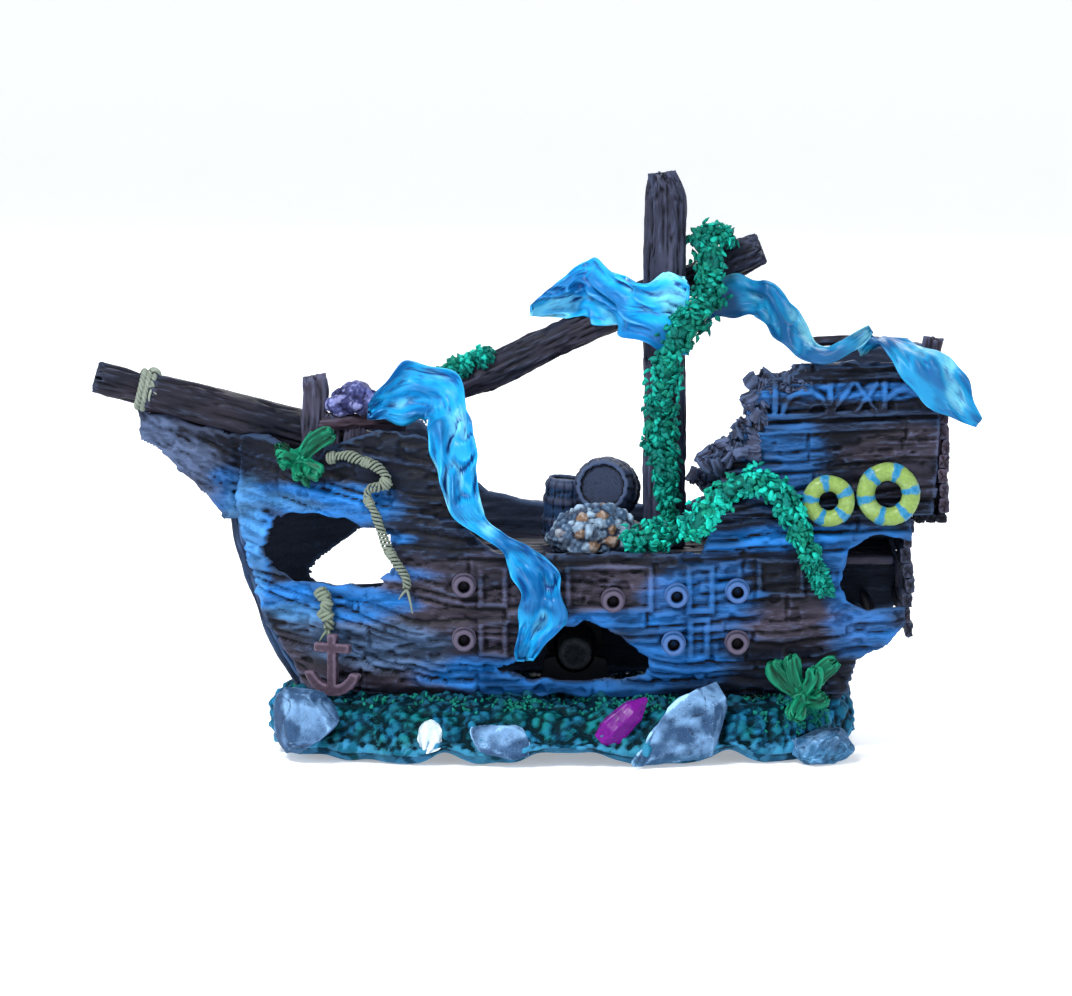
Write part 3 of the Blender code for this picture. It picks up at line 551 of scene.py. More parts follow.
def skin(sculpt, side, spans, cell, keep, raise_by, paint, seed, thick=WALL, form=half_breadth, raked=True):
    """A planked side with holes: outer and inner faces and the broken rims between them."""
    (x0, x1), (z0, z1) = spans
    us = np.linspace(x0, x1, int((x1 - x0) / cell) + 1)
    vs = np.linspace(z0, z1, int((z1 - z0) / cell) + 1)
    u, z = np.meshgrid(us, vs, indexing="ij")
    x = u
    if raked:
        x = stem_x(z) + (STERN_X - stem_x(z)) * (u - STEM_HEAD_X) / (STERN_X - STEM_HEAD_X)
    solid = keep(x, z)
    step = 0.3
    gx = (keep(x + step, z) - keep(x - step, z)) / (2 * step)
    gz = (keep(x, z + step) - keep(x, z - step)) / (2 * step)
    size = np.maximum(gx * gx + gz * gz, 0.3)
    pull = np.where(np.abs(solid) < 0.75 * cell, np.clip(solid / size, -cell, cell), 0)
    x, z = x - gx * pull, z - gz * pull
    margin = 0.75 * cell
    kept = np.ones((len(us) - 1, len(vs) - 1), bool)
    for a in (slice(0, -1), slice(1, None)):
        for b in (slice(0, -1), slice(1, None)):
            kept &= solid[a, b] > -margin
    edge = 0.4
    y = form(x, z)
    nx = -(form(x + edge, z) - form(x - edge, z)) / (2 * edge)
    nz = -(form(x, z + edge) - form(x, z - edge)) / (2 * edge)
    normal = unit(xyz(nx, 1.0, nz))
    worn = np.exp(-np.maximum(solid, 0) / 0.9)
    outer_h = raise_by(x, z) - 0.7 * worn
    base = xyz(x, y, z)
    outer = base + normal * outer_h[..., None]
    ragged = 0.45 * fractal(base, (9, 9, 1.6), 2, seed + 40)
    inner = base - normal * (thick + ragged - 0.5 * worn)[..., None]
    inner[..., 1] = np.maximum(inner[..., 1], 0.25)
    outer[..., 1] = np.maximum(outer[..., 1], inner[..., 1] + 0.6)
    points = np.concatenate([outer.reshape(-1, 3), inner.reshape(-1, 3)])
    points[:, 1] *= side
    n, m = u.shape
    index = np.arange(n * m).reshape(n, m)
    i, j = np.nonzero(kept)
    a, b, c, d = index[i, j], index[i + 1, j], index[i + 1, j + 1], index[i, j + 1]
    back = n * m
    quads = [np.stack([a, b, c, d], -1), np.stack([a, d, c, b], -1) + back]
    padded = np.pad(kept, 1)
    for di, dj, first, second in ((0, -1, a, b), (1, 0, b, c), (0, 1, c, d), (-1, 0, d, a)):
        rim = ~padded[i + 1 + di, j + 1 + dj]
        e, f = first[rim], second[rim]
        quads.append(np.stack([f, e, e + back, f + back], -1))
    quads = np.concatenate(quads)
    used, packed = np.unique(quads, return_inverse=True)
    colour = paint(points, np.repeat([True, False], n * m))
    rim_wear = np.concatenate([0.22 * worn.ravel(), 0.10 * worn.ravel()])
    rim_wear = rim_wear - 0.02 + 0.18 * smooth(0.015, 0.13, colour.max(axis=1))
    grain = points * np.array((1 / 7, 1, 1))
    sculpt.add(points[used], (packed.reshape(-1, 4),), colour[used], grain[used], rim_wear[used])


SHEER_PORT = ((-109, 103.5), (-97, 104.5), (-90, 101), (-80, 98), (-77, 102), (-60, 108), (-44, 107),
              (-38, 94), (-29, 75), (-20, 69), (46, 69), (50, 80), (112, 80))
SHEER_STARBOARD = ((-109, 100), (-97, 102), (-80, 98), (-74, 104), (-46, 105), (-36, 92), (-24, 80),
                   (0, 75), (44, 76), (50, 80), (112, 80))
CASTLE_TOP_PORT = ((48, 101.5), (53, 103), (58, 107), (60.5, 113), (61.5, 122), (68, 125), (76, 127),
    (79, 130.5), (123.6, 130.5))
CASTLE_TOP_STARBOARD = ((48, 86), (60, 92), (68, 99), (76, 111), (84, 119), (91, 131), (123.6, 131))
BOW_BREACH_PORT = ((-99, 66), (-95, 78), (-84, 80.5), (-70, 79), (-57, 73), (-55, 64), (-60, 57.5),
                   (-74, 55.5), (-88, 56), (-95, 60))
MID_BREACH_PORT = ((-21, 28), (-14, 32), (-7, 38), (1, 44), (8, 46.5), (16, 44.5), (23, 38),
                   (29, 32), (28, 26), (10, 23.5), (-8, 24))
STERN_BREACH_PORT = ((92, 60), (95, 69), (102, 73.5), (118, 72), (118, 51), (101, 49), (94, 53))
BOW_BREACH_STARBOARD = ((-85, 53), (-80, 60), (-68, 68), (-54, 70), (-45, 62), (-46, 53), (-58, 49.5),
    (-76, 50))
AFT_BREACH_STARBOARD = ((62, 46), (68, 58), (78, 62), (88, 56), (90, 46), (80, 40), (68, 40))
STERN_TUCK = ((95, 8), (97, 30), (100, 33), (106, 35.5), (110.5, 40.5), (114, 44), (118, 46.5), (118, 8))
PORT_HOLES = (BOW_BREACH_PORT, MID_BREACH_PORT, STERN_BREACH_PORT, STERN_TUCK)
STARBOARD_HOLES = (BOW_BREACH_STARBOARD, AFT_BREACH_STARBOARD, STERN_TUCK)

# Raised frames on the sides: round the guns, and the panels between them
FRAMES_PORT = ((-26, -18, 52, 64), (-26, -18, 35, 46), (2.5, 29.5, 50.5, 64.5), (42, 49.5, 50, 64),
               (42.5, 48, 34, 47), (65, 79, 55, 66))
FRAMES_STARBOARD = ((-36, -20, 49, 65), (0, 16, 49, 65), (36, 52, 49, 65))

BROWN_SPOTS = ((-45, 42, 36, 27, 1.0), (-80, 30, 18, 14, 0.9), (17, 58, 17, 9, 1.0), (77, 45, 26, 8, 1.0),
               (-20, 66, 14, 6, 0.8), (113, 103, 20, 7, 0.9), (112, 92, 16, 8, 0.6))
BLUE_SPOTS = ((-112, 86, 8, 9, 0.45), (-80, 83.5, 30, 6.0, 1.0), (-101, 64, 7, 22, 1.0),
    (-76, 51, 30, 6, 1.0), (-18, 27, 26, 8, 1.0), (17, 47, 17, 3.4, 0.9), (46, 52, 18, 15, 0.62),
    (36, 33, 20, 11, 0.75), (80, 73, 38, 4.5, 1.0), (100, 42, 14, 9, 0.65), (72, 100, 15, 16, 0.42),
    (66, 112, 9, 10, 0.4), (90, 121, 34, 3, 0.6), (92, 62, 8, 14, 0.8), (-70, 62, 30, 3.5, 0.6),
    (-60, 73, 12, 3, 0.7), (8, 22, 26, 5, 0.8))
PALE_SPOTS = ((-62, 37, 26, 9, 0.30), (-104, 80, 7, 10, 0.6), (-88, 83, 12, 3, 0.6), (-101, 60, 4, 18, 0.6),
    (-86, 46, 12, 3, 0.6))


def hull_colour(points, outer):
    """The side's airbrushed colours; dark inside."""
    brown = airbrush(points, BROWN_SPOTS, 0.4, 11)
    blue = airbrush(points, BLUE_SPOTS, 0.45, 23)
    pale = airbrush(points, PALE_SPOTS, 0.45, 31)
    colour = painted((len(points),), NAVY, (brown, MAUVE), (blue, BLUE), (pale, SLATE))
    tone = 0.62 + 0.75 * smooth(-0.45, 0.45, fractal(points, (11, 11, 2.6), 3, 47))
    colour = colour * tone[:, None]
    inside = np.array((0.026, 0.036, 0.066))
    return np.where(outer[:, None], colour, inside)


def interp_table(x, table):
    return np.interp(x, [a for a, _ in table], [b for _, b in table])


def keeper(top, holes, seed):
    """Signed distance inside the planking: planks break off at their own lengths beside a hole."""
    def keep(x, z):
        p = xyz(x, 0, z)
        splinter = 2.6 * (plank_own(x, z, seed) - 0.5) + 0.9 * noise(p, (4, 1, 1.1), seed + 2)
        gentle = 1.0 * noise(p, (5, 1, 4), seed + 4)
        solid = interp_table(x, top) + 0.8 * noise(p, (3.2, 1, 30), seed + 6) - z
        for corners in holes:
            d = polygon_distance(x, z, corners)
            centre_x = sum(c[0] for c in corners) / len(corners)
            reach = max(abs(c[0] - centre_x) for c in corners)
            sideways = smooth(0.45, 0.95, np.abs(x - centre_x) / reach)
            solid = np.minimum(solid, d + sideways * splinter + (1 - sideways) * gentle)
        return solid
    return keep


def make_hull(side, top, holes, frames, name, seed):
    hull = Sculpt()

    def raised(x, z):
        framed = bars(x, z, frames)
        wale_z = 72.5 if side == PORT else 74
        wale = smooth(2.1, 1.3, np.abs(z - wale_z - 0.02 * (x - 60))) * smooth(44, 50, x)
        return plank_relief(x, z, seed) * (1 - 0.5 * framed) + 1.5 * framed + 1.2 * wale - 0.6

    planking = keeper(top, holes, seed)

    def keep(x, z):
        return np.minimum(planking(x, z), STERN_X + 3.4 - 2.6 * plank_own(x, z, seed + 8) ** 2 - x)

    span_top = max(z for _, z in top)
    skin(hull, side, ((STEM_HEAD_X, STERN_X + 3.5), (KEEL_Z, span_top)), 0.62, keep, raised, hull_colour,
        seed)
    hull.finish(name + "_planking", HULL_FINISH, name, 0.75)


def make_castle(side, top, name, seed):
    castle = Sculpt()

    def raised(x, z):
        rail = smooth(1.9, 1.2, np.abs(z - 108.5 - 0.03 * (x - 60))) + smooth(1.6, 1.0, np.abs(z - 126.2))
        foot = smooth(1.5, 0.9, np.abs(z - 112.6 - 0.03 * (x - 60)))
        in_band = smooth(0, 1.5, z - 113) * smooth(0, 1.5, 125.5 - z)
        arch = np.zeros(x.shape)
        for centre in (80.0, 112.5):
            arch = np.maximum(arch, smooth(1.15, 0.6, np.abs(np.hypot(x - centre, (z - 113) * 0.9) - 7.5)))
        for a, b in ((88, 96), (96, 104), (104, 96), (118, 124)):
            slope = (x - a) / (b - a)
            line = np.abs(z - (113.5 + 11 * slope)) * 0.62
            arch = np.maximum(arch, smooth(1.15, 0.6, line) * (slope > 0) * (slope < 1))
        for post in (70.0, 88.0, 106.0, 121.0):
            arch = np.maximum(arch, smooth(1.2, 0.7, np.abs(x - post)))
        trim = np.maximum(rail, np.maximum(foot, arch * in_band))
        trim = np.clip(trim, 0, 1) * smooth(62, 68, x)
        wale = smooth(1.9, 1.3, np.abs(z - 83.0))
        return plank_relief(x, z, seed) * (1 - 0.6 * trim) + 1.9 * trim + 0.9 * wale - 0.9

    keep = keeper(top, (), seed)
    spans = ((CASTLE_LOW[0], CASTLE_HIGH[0] + 0.4), (CASTLE_LOW[2], CASTLE_HIGH[2] + 2.5))

    def ragged(x, z):
        own = plank_own(x, z, seed + 5)
        fore = x - 49.5 - 3.5 * own
        aft = 124.6 - 2.4 * own - 2.0 * smooth(100, 84, z) - x
        return np.minimum(keep(x, z), np.minimum(fore, aft + 2.0))

    skin(castle, side, spans, 0.5, ragged, raised, hull_colour, seed)
    rng = np.random.default_rng(seed + 1)
    stone = wood_colour((0.018, 0.023, 0.044), (0.050, 0.058, 0.105), 0.9)
    profile, _ = curve_through([(44.5, 0, top[0][1])] + [(x, 0, z) for x, z in top if x < 88], 2.6)
    for (x, _, z), depth in ((place, depth) for place in profile[:-1] for depth in (0.6, 3.2, 5.8)):
        x, z = x + depth * 0.85 + rng.normal() * 0.7, z - 0.6 * depth + rng.normal() * 0.8
        y = side * (side_at(x, z) - 1.0 + 0.7 * rng.random())
        tilt = unit(rng.normal(size=3) * (0.8, 0.5, 1.0)) * rng.uniform(1.6, 3.2)
        timber(castle, [(x, y, z) - tilt, (x, y, z) + 0.4 * rng.normal(size=3), (x, y, z) + tilt],
            (rng.uniform(1.5, 2.4), rng.uniform(1.2, 2.0)), stone, up=(0.2, 1, 0), square=2.3, count=22,
            step=0.5, rough=1.7, split=1.0, ends=(1.3, 1.3), seed=int(rng.integers(9999)))
    if side == PORT:
        timber(castle, [(122.2, -22, 126), (121.8, -22, 133), (122.4, -22, 138.5)], (2.7, 2.4), BROWN_WOOD,
            up=(0, 1, 0), count=32, step=0.5, rough=1.2, ends=(0.6, 2.0), seed=seed + 9)
    else:
        y = side * (side_at(98, 130.0) - 1.4)
        timber(castle, [(82, y, 131.2), (98, y, 131.8), (116, y - 1.5, 131.4)], (1.9, 1.7), DARK_WOOD,
            count=32, rough=0.8, ends=(0.8, 0.8), seed=seed + 9)
    castle.finish(name + "_planking", HULL_FINISH, name, 0.75)


# Decks and the panels across the ship

def wood_colour(base, other=MAUVE, share=0.5, pale=None):
    """Paint for one plank: a mix of two colours chosen by its seed, streaked along it."""
    def paint(p, seed):
        streak = smooth(-0.5, 0.6, fractal(p, (14, 9, 9), 2, seed + 2))
        own = cell_number(np.int64(seed), np.int64(7), np.int64(3), 5)
        layers = [(streak * share * (0.4 + 1.2 * own), other)]
        if pale:
            layers.append((smooth(0.1, 0.8, noise(p, (10, 6, 6), seed + 8)) * 0.7, pale))
        return painted(p.shape[:-1], base, *layers)
    return paint


DARK_WOOD = wood_colour((0.010, 0.013, 0.026), (0.032, 0.026, 0.040), 0.6)
BROWN_WOOD = wood_colour((0.022, 0.018, 0.030), (0.055, 0.034, 0.048), 0.7)
INNER_WOOD = wood_colour((0.004, 0.005, 0.009), (0.010, 0.010, 0.017), 0.5)
STEM_WOOD = wood_colour((0.010, 0.018, 0.042), (0.030, 0.070, 0.160), 0.9)
BLUE_WOOD = wood_colour((0.010, 0.035, 0.100), BLUE, 0.9)


def make_deck(name, ends, hole, seed, pitch=4.9):
    """Fore-and-aft planks cut to the hull's shape, with broken ends round the hatch."""
    deck = Sculpt()
    top = high(name)[2]
    rng = np.random.default_rng(seed)
    stations = np.linspace(ends[0], ends[1], 120)
    halves = half_breadth(stations, top - 3.0) - WALL - 1.4
    count = int(2 * halves.max() / pitch) + 1
    for k in range(count):
        y = -halves.max() + (k + 0.5) * 2 * halves.max() / count
        fits = stations[halves > abs(y) + pitch * 0.4]
        if len(fits) < 4:
            continue
        joints = 3 if fits[-1] - fits[0] > 60 else int(fits[-1] - fits[0] > 18)
        cuts = [fits[0], *sorted(fits[0] + (fits[-1] - fits[0]) * rng.uniform(0.15, 0.85, joints)),
            fits[-1]]
        for a, b in zip(cuts, cuts[1:]):
            runs = [(a, b)]
            if hole and abs(y) < hole[2]:
                chip = rng.uniform(-1.5, 2.5, 2)
                runs = [(a, min(b, hole[0] + chip[0])), (max(a, hole[1] - chip[1]), b)]
            for start, end in runs:
                if end - start < 4:
                    continue
                drop = rng.uniform(-0.35, 0.35)
                line = [(start + 0.2, y, top - 1.5 + drop),
                        ((start + end) / 2, y + rng.uniform(-0.2, 0.2), top - 1.4),
                        (end - 0.2, y, top - 1.5 - drop)]
                timber(deck, line, (pitch / 2 - 0.12, 1.45), DARK_WOOD, square=6, count=16, step=1.1,
                    rough=0.28, ends=(0.8, 0.8), seed=int(rng.integers(9999)))
    deck.finish(name + "_planks", DECK_FINISH, name)


def make_panel(name, inset, hole_boxes, seed, paint, ragged=2.0, upright=True, pitch=PLANK_PITCH):
    """Boards side by side across the ship, cut to the hull's outline and round the openings."""
    panel = Sculpt()
    lo, hi = low(name), high(name)
    middle_x = (lo[0] + hi[0]) / 2
    thick = (hi[0] - lo[0]) / 2 - 0.1
    rng = np.random.default_rng(seed)
    heights = np.linspace(lo[2], hi[2], 90)
    half = half_breadth(np.full(90, lo[0]), heights) - inset
    if upright:
        count = int(2 * half.max() / pitch)
        places = -half.max() + (np.arange(count) + 0.5) * 2 * half.max() / count
    else:
        count = int((hi[2] - lo[2]) / pitch)
        places = lo[2] + (np.arange(count) + 0.5) * (hi[2] - lo[2]) / count
    wide = (2 * half.max() if upright else hi[2] - lo[2]) / count / 2 - 0.1
    for place in places:
        if upright:
            fits = heights[half > abs(place) + wide * 0.5]
            if not len(fits):
                continue
            spans = [(fits[0], fits[-1] - rng.uniform(0, ragged))]
            near = [(c, d) for a, b, c, d in hole_boxes if a - wide < place < b + wide]
        else:
            reach = np.interp(place, heights, half)
            spans = [(-reach + rng.uniform(0, ragged * 0.4), reach - rng.uniform(0, ragged * 0.4))]
            near = [(a, b) for a, b, c, d in hole_boxes if c - wide < place < d + wide]
        for c, d in near:
            halves = [((a, min(b, c - rng.uniform(0, 0.5))), (max(a, d + rng.uniform(0, 0.5)), b))
                      for a, b in spans]
            spans = [(start, end) for pair in halves for start, end in pair if end - start > 1.5]
        for a, b in spans:
            x = middle_x + rng.uniform(-1, 1) * (0.35 if upright else 0.9)
            line = [(x, place, t) if upright else (x, t, place) for t in (a, (a + b) / 2, b)]
            timber(panel, line, (wide, thick * rng.uniform(0.9, 1.35 if not upright else 1.05)), paint,
                up=(1, 0, 0), square=6, count=18, step=0.9, rough=0.4, ends=(0.8, 1.4),
                seed=int(rng.integers(9999)))
    for a, b, c, d in hole_boxes:
        for y0, z0, y1, z1 in ((a, c, a, d), (b, c, b, d), (a - 1, d, b + 1, d), (a - 1, c, b + 1, c)):
            line = [(middle_x, y0, z0), (middle_x, (y0 + y1) / 2, (z0 + z1) / 2), (middle_x, y1, z1)]
            timber(panel, line, (1.0, thick + 0.7), paint, up=(1, 0, 0),
                   square=5, count=14, ends=(0.5, 0.5), seed=int(rng.integers(9999)))
    panel.finish(name + "_boards", TIMBER_FINISH, name)


def make_cross_planks():
    """The gallery's floor, and the planks that close the stern below the transom."""
    floor = Sculpt()
    lo, hi = low("gallery_floor"), high("gallery_floor")
    for k, x in enumerate(np.linspace(lo[0] + 2.0, hi[0] - 2.0, 3)):
        timber(floor, [(x, lo[1] + 0.4, hi[2] - 1.5), (x, 0, hi[2] - 1.4), (x, hi[1] - 0.4, hi[2] - 1.5)],
            (1.85, 1.4), INNER_WOOD, square=6, count=16, seed=40 + k)
    floor.finish("gallery_floor_planks", DECK_FINISH, "gallery_floor")
    planks = Sculpt()
    for k, (x, z) in enumerate(((91.5, 20.5), (92.6, 25.6), (93.8, 30.8), (95.4, 35.8), (98.2, 40.4),
            (102.0, 44.6))):
        reach = side_at(x, z) - 2.6
        timber(planks, [(x, -reach, z), (x + 1.2, 0, z + 0.3), (x, reach, z)], (1.3, 2.3), DARK_WOOD,
            square=6, count=24, seed=60 + k)
    planks.finish("stern_planks", TIMBER_FINISH)


# Masts and other round timber

def make_spar(node, points, halves, paint, **how):
    spar = Sculpt()
    timber(spar, points, halves, paint, step=0.7, **how)
    spar.finish(node + "_timber", TIMBER_FINISH, node)


BOWSPRIT_TIP = np.array((-154.0, 0, 122.8))
BOWSPRIT_HEEL = np.array((-52.0, 0, 95.0))
BOWSPRIT_WAY = unit(BOWSPRIT_HEEL - BOWSPRIT_TIP)


def make_spars():
    x, foot, head = middle("mast")[0], low("mast")[2], high("mast")[2]
    line = [(x, 0, foot), (x, 0.2, foot + 40), (x - 0.3, 0, head - 40), (x, 0, head - 12),
        (x - 1.2, 0, head - 1)]
    make_spar("mast", line, [(7.1, 7.1), (7.0, 7.0), (6.9, 6.9), (6.8, 6.8), (4.7, 4.9)],
              wood_colour((0.020, 0.022, 0.042), (0.060, 0.066, 0.115), 0.8),
              up=(0, 1, 0), square=2.3, count=72, rough=0.75, split=1.0, ends=(0.5, 5.0), seed=11)
    lo, hi = low("yard"), high("yard")
    start = np.array((lo[0] + 1.2, 12.5, lo[2] + 4.3))
    end = np.array((hi[0] - 1.0, 12.5, hi[2] - 3.4))
    bends = ((0, 0), (0.14, 0), (0.28, -0.8), (0.45, 0.3), (0.62, 0.6), (0.82, 0.2), (0.93, 0.2), (1, -0.4))
    line = [start + (end - start) * t + np.array((0, 0, lift)) for t, lift in bends]
    halves = [(4.2, 4.2), (5.2, 5.0), (6.2, 6.0), (5.2, 5.2), (5.7, 5.6), (4.6, 4.6), (6.3, 6.0),
        (5.6, 5.4)]
    make_spar("yard", line, halves, wood_colour((0.012, 0.014, 0.027), (0.034, 0.028, 0.045), 0.8),
              square=2.2, count=60, rough=1.0, split=0.9, ends=(2.0, 4.0), seed=12)
    length = np.linalg.norm(BOWSPRIT_HEEL - BOWSPRIT_TIP)
    line = [BOWSPRIT_TIP + BOWSPRIT_WAY * d for d in (0.4, 8, 18.5, 20.5, 55, length - 0.6)]
    make_spar("bowsprit", line, [(5.2, 5.2), (5.4, 5.3), (5.3, 5.3), (6.6, 6.5), (7.0, 7.0), (6.6, 6.6)],
              wood_colour((0.007, 0.009, 0.018), (0.024, 0.019, 0.030), 0.9),
              square=2.3, count=64, rough=0.75, split=0.9, ends=(3.4, 1.4), seed=13)


def make_stem():
    """The cutwater, and the broken brackets under the bowsprit."""
    stem = Sculpt()
    heights = np.linspace(KEEL_Z + 0.5, high("stem_post")[2] - 0.5, 8)
    for offset, half, seed in ((1.0, (2.8, 1.9), 3), (-1.2, (1.9, 1.3), 4)):
        line = [(stem_x(z) + offset - 0.3, 0, z) for z in heights]
        timber(stem, line, half, STEM_WOOD, up=(-1, 0, 0.25), square=3, count=28, rough=1.3, split=0.8,
            ends=(0.8, 2.5), seed=seed)
    stem.finish("stem_post_timber", TIMBER_FINISH, "stem_post")
    knee = Sculpt()
    slope = math.radians(27)
    knee_outline = ((-100.0, 73.0), (-100.0, 103.0), (-108.0, 104.5), (-120, 108.0), (-134, 111.5),
        (-140.0, 112.0), (-138.0, 101.5), (-128.5, 94.0), (-121.0, 88.0), (-114.0, 78.5), (-110.0, 74.5))

    def tilted(x, z):
        return x * math.cos(slope) - z * math.sin(slope), x * math.sin(slope) + z * math.cos(slope)

    def keep(x, z):
        p = xyz(x, 0, z)
        run, rise = tilted(x, z)
        row, column = np.floor(rise / 3.1).astype(np.int64), np.floor(run / 9.0).astype(np.int64)
        steps = cell_number(row, column, 0 * row, 5)
        return 1.3 * (steps - 0.5) + 1.1 * noise(p, (7.5, 1, 6.5), 8) - polygon_distance(x, z, knee_outline)

    def raised(x, z):
        run, rise = tilted(x, z)
        lumps = 1.5 * fractal(xyz(run, 0, rise), (6.5, 1, 3.4), 3, 64)
        return 0.5 * plank_relief(run, rise, 61, 3.6) + lumps - 1.0

    def slab(x, z):
        swell = 1.6 * smooth(-119, -111, x) * smooth(-105.5, -109.5, x)
        return 4.3 - 0.05 * np.maximum(0.0, -120 - x) + swell

    def colour(points, outer):
        patch = airbrush(points, ((-120, 96, 18, 6, 1.0), (-134, 103, 7, 6, 0.9), (-113, 85, 6, 10, 0.9)),
            0.8, 41)
        carved = painted((len(points),), (0.016, 0.021, 0.042), (0.85 * patch, (0.052, 0.078, 0.150)))
        near_hull = smooth(-120, -111, points[:, 0] + 2.5 * noise(points, 5.0, 43))[:, None]
        return carved * (1 - near_hull) + hull_colour(points, outer) * near_hull

    for side in (PORT, STARBOARD):
        skin(knee, side, ((-144, -102.4), (76, 113)), 0.5, keep, raised, colour, 60 + side, 3.9, slab,
            False)
    knee.finish("beakhead_carving", TIMBER_FINISH, "beakhead")


def make_bitts():
    bitts = Sculpt()
    grey = wood_colour((0.022, 0.021, 0.034), (0.075, 0.070, 0.115), 0.9)
    tall = ((-81.8, -11.6, 92.5), (-81.2, -11.8, 108), (-80.6, -11.6, 119), (-81.4, -11.6, 124.6))
    short = ((-76.2, -11.4, 96), (-76.4, -11.6, 105), (-76.0, -11.4, 112.5))
    aft = ((-67.6, -11.4, 96), (-67.2, -11.6, 105), (-67.6, -11.4, 110.5))
    for line, half, seed in ((tall, (3.7, 3.2), 21), (short, (3.4, 3.0), 23), (aft, (3.2, 3.0), 24)):
        timber(bitts, line, half, grey, up=(0, 1, 0), square=2.6, count=40, step=0.6, rough=1.2, split=0.8,
            ends=(0.5, 2.8), seed=seed)
    timber(bitts, [(-80, -11.4, 108.4), (-65, -11.4, 109.4), (-50, -11.4, 109.2)], (2.6, 3.4), BROWN_WOOD,
        up=(0, 1, 0), square=3.0, count=36, step=0.6, rough=0.9, ends=(0.6, 1.6), seed=22)
    bitts.finish("bow_bitts_timber", TIMBER_FINISH, "bow_bitts")


# Torn sails, cast stiff

# Each row is a station: the middle of the cloth, then half its width as a vector
SAIL_FORE = (
    (-63, -19, 113.5, 0, 0, 2.5), (-57, -19, 117, 0, 1, 7.5), (-50, -18.5, 119.5, 0, 1.5, 9),
    (-43.5, -18.5, 119.5, 2, 1, 9), (-38.5, -20, 117.5, 5.5, 1, 7.5), (-36.2, -27, 112.5, 6.5, -1, 2.5),
    (-35.5, -34.6, 106, 6.5, 0, 0), (-34, -36.5, 98, 7.4, 0, 0), (-32.5, -37.4, 90, 7.0, 0, 0.5),
    (-30, -38.6, 82.5, 5.4, 0, 1.6), (-24.5, -39.6, 77.5, 2.2, 0, 2.4), (-18, -40.6, 73.8, 1.2, 0, 2.6),
    (-12.5, -41.0, 68.5, 4.4, 0, 2.2), (-7.5, -41.2, 62, 7.2, 0, 1), (-6, -41.2, 54, 7.4, 0, 0),
    (-6, -41, 47.5, 7.6, 0, -0.8), (-9.5, -40.7, 42, 4.6, 0, -1), (-11, -40.3, 38, 3.8, 0, 0),
    (-11.5, -40.2, 34.5, 2.6, 0, 0))
SAIL_MID = (
    (-10, 12, 143.3, 0, 0, 2.5), (-6.5, 12, 144.7, 0, 0, 4.4), (0.5, 12, 147.2, 0, 0, 7.4),
    (9.5, 9.5, 151, 0, 0, 10), (18, -1, 148.5, 0, 0, 9.5), (26, -9.3, 146, 0, 0, 10.5),
    (34, -10.4, 144.5, 0, 0, 12), (42.5, -8.8, 143.5, 0, 0, 13.5))
SAIL_AFT = (
    (46, 4.5, 147, 0, 0, 6.5), (56, 5, 149, 0, 0, 7), (63, 2, 148.8, 0.5, 0, 6.2),
    (68.5, -4, 148.2, 2.5, 0, 6.4), (73, -12, 143.4, 3.6, 0.5, 4.8), (77.5, -21, 138, 3, 1, 3.7),
    (81.5, -28.5, 134.2, 1.4, 1, 3.2), (87, -32, 133.6, 0.2, 0.4, 3.2),
    (92.3, -33, 136.2, -1.2, 0, 2.9), (97.5, -33, 139.3, -1.2, 0, 2.2), (101, -33, 142.4, -0.8, 0, 1.2))
SAIL_STERN = (
    (100, -12, 134, 3, 4, 0), (106, -20, 135.5, 4.5, 4, 0), (113, -28, 134, 5.5, 3, 1.5),
    (119, -33, 129.5, 6.5, 0, 4), (124.5, -34, 123.5, 6.5, 0, 4.5), (129.5, -34, 118, 4, 0, 3.4),
    (133, -34, 114.5, 2.6, 0, 2.6), (136.3, -34, 111.8, 1.2, 0, 1.6))


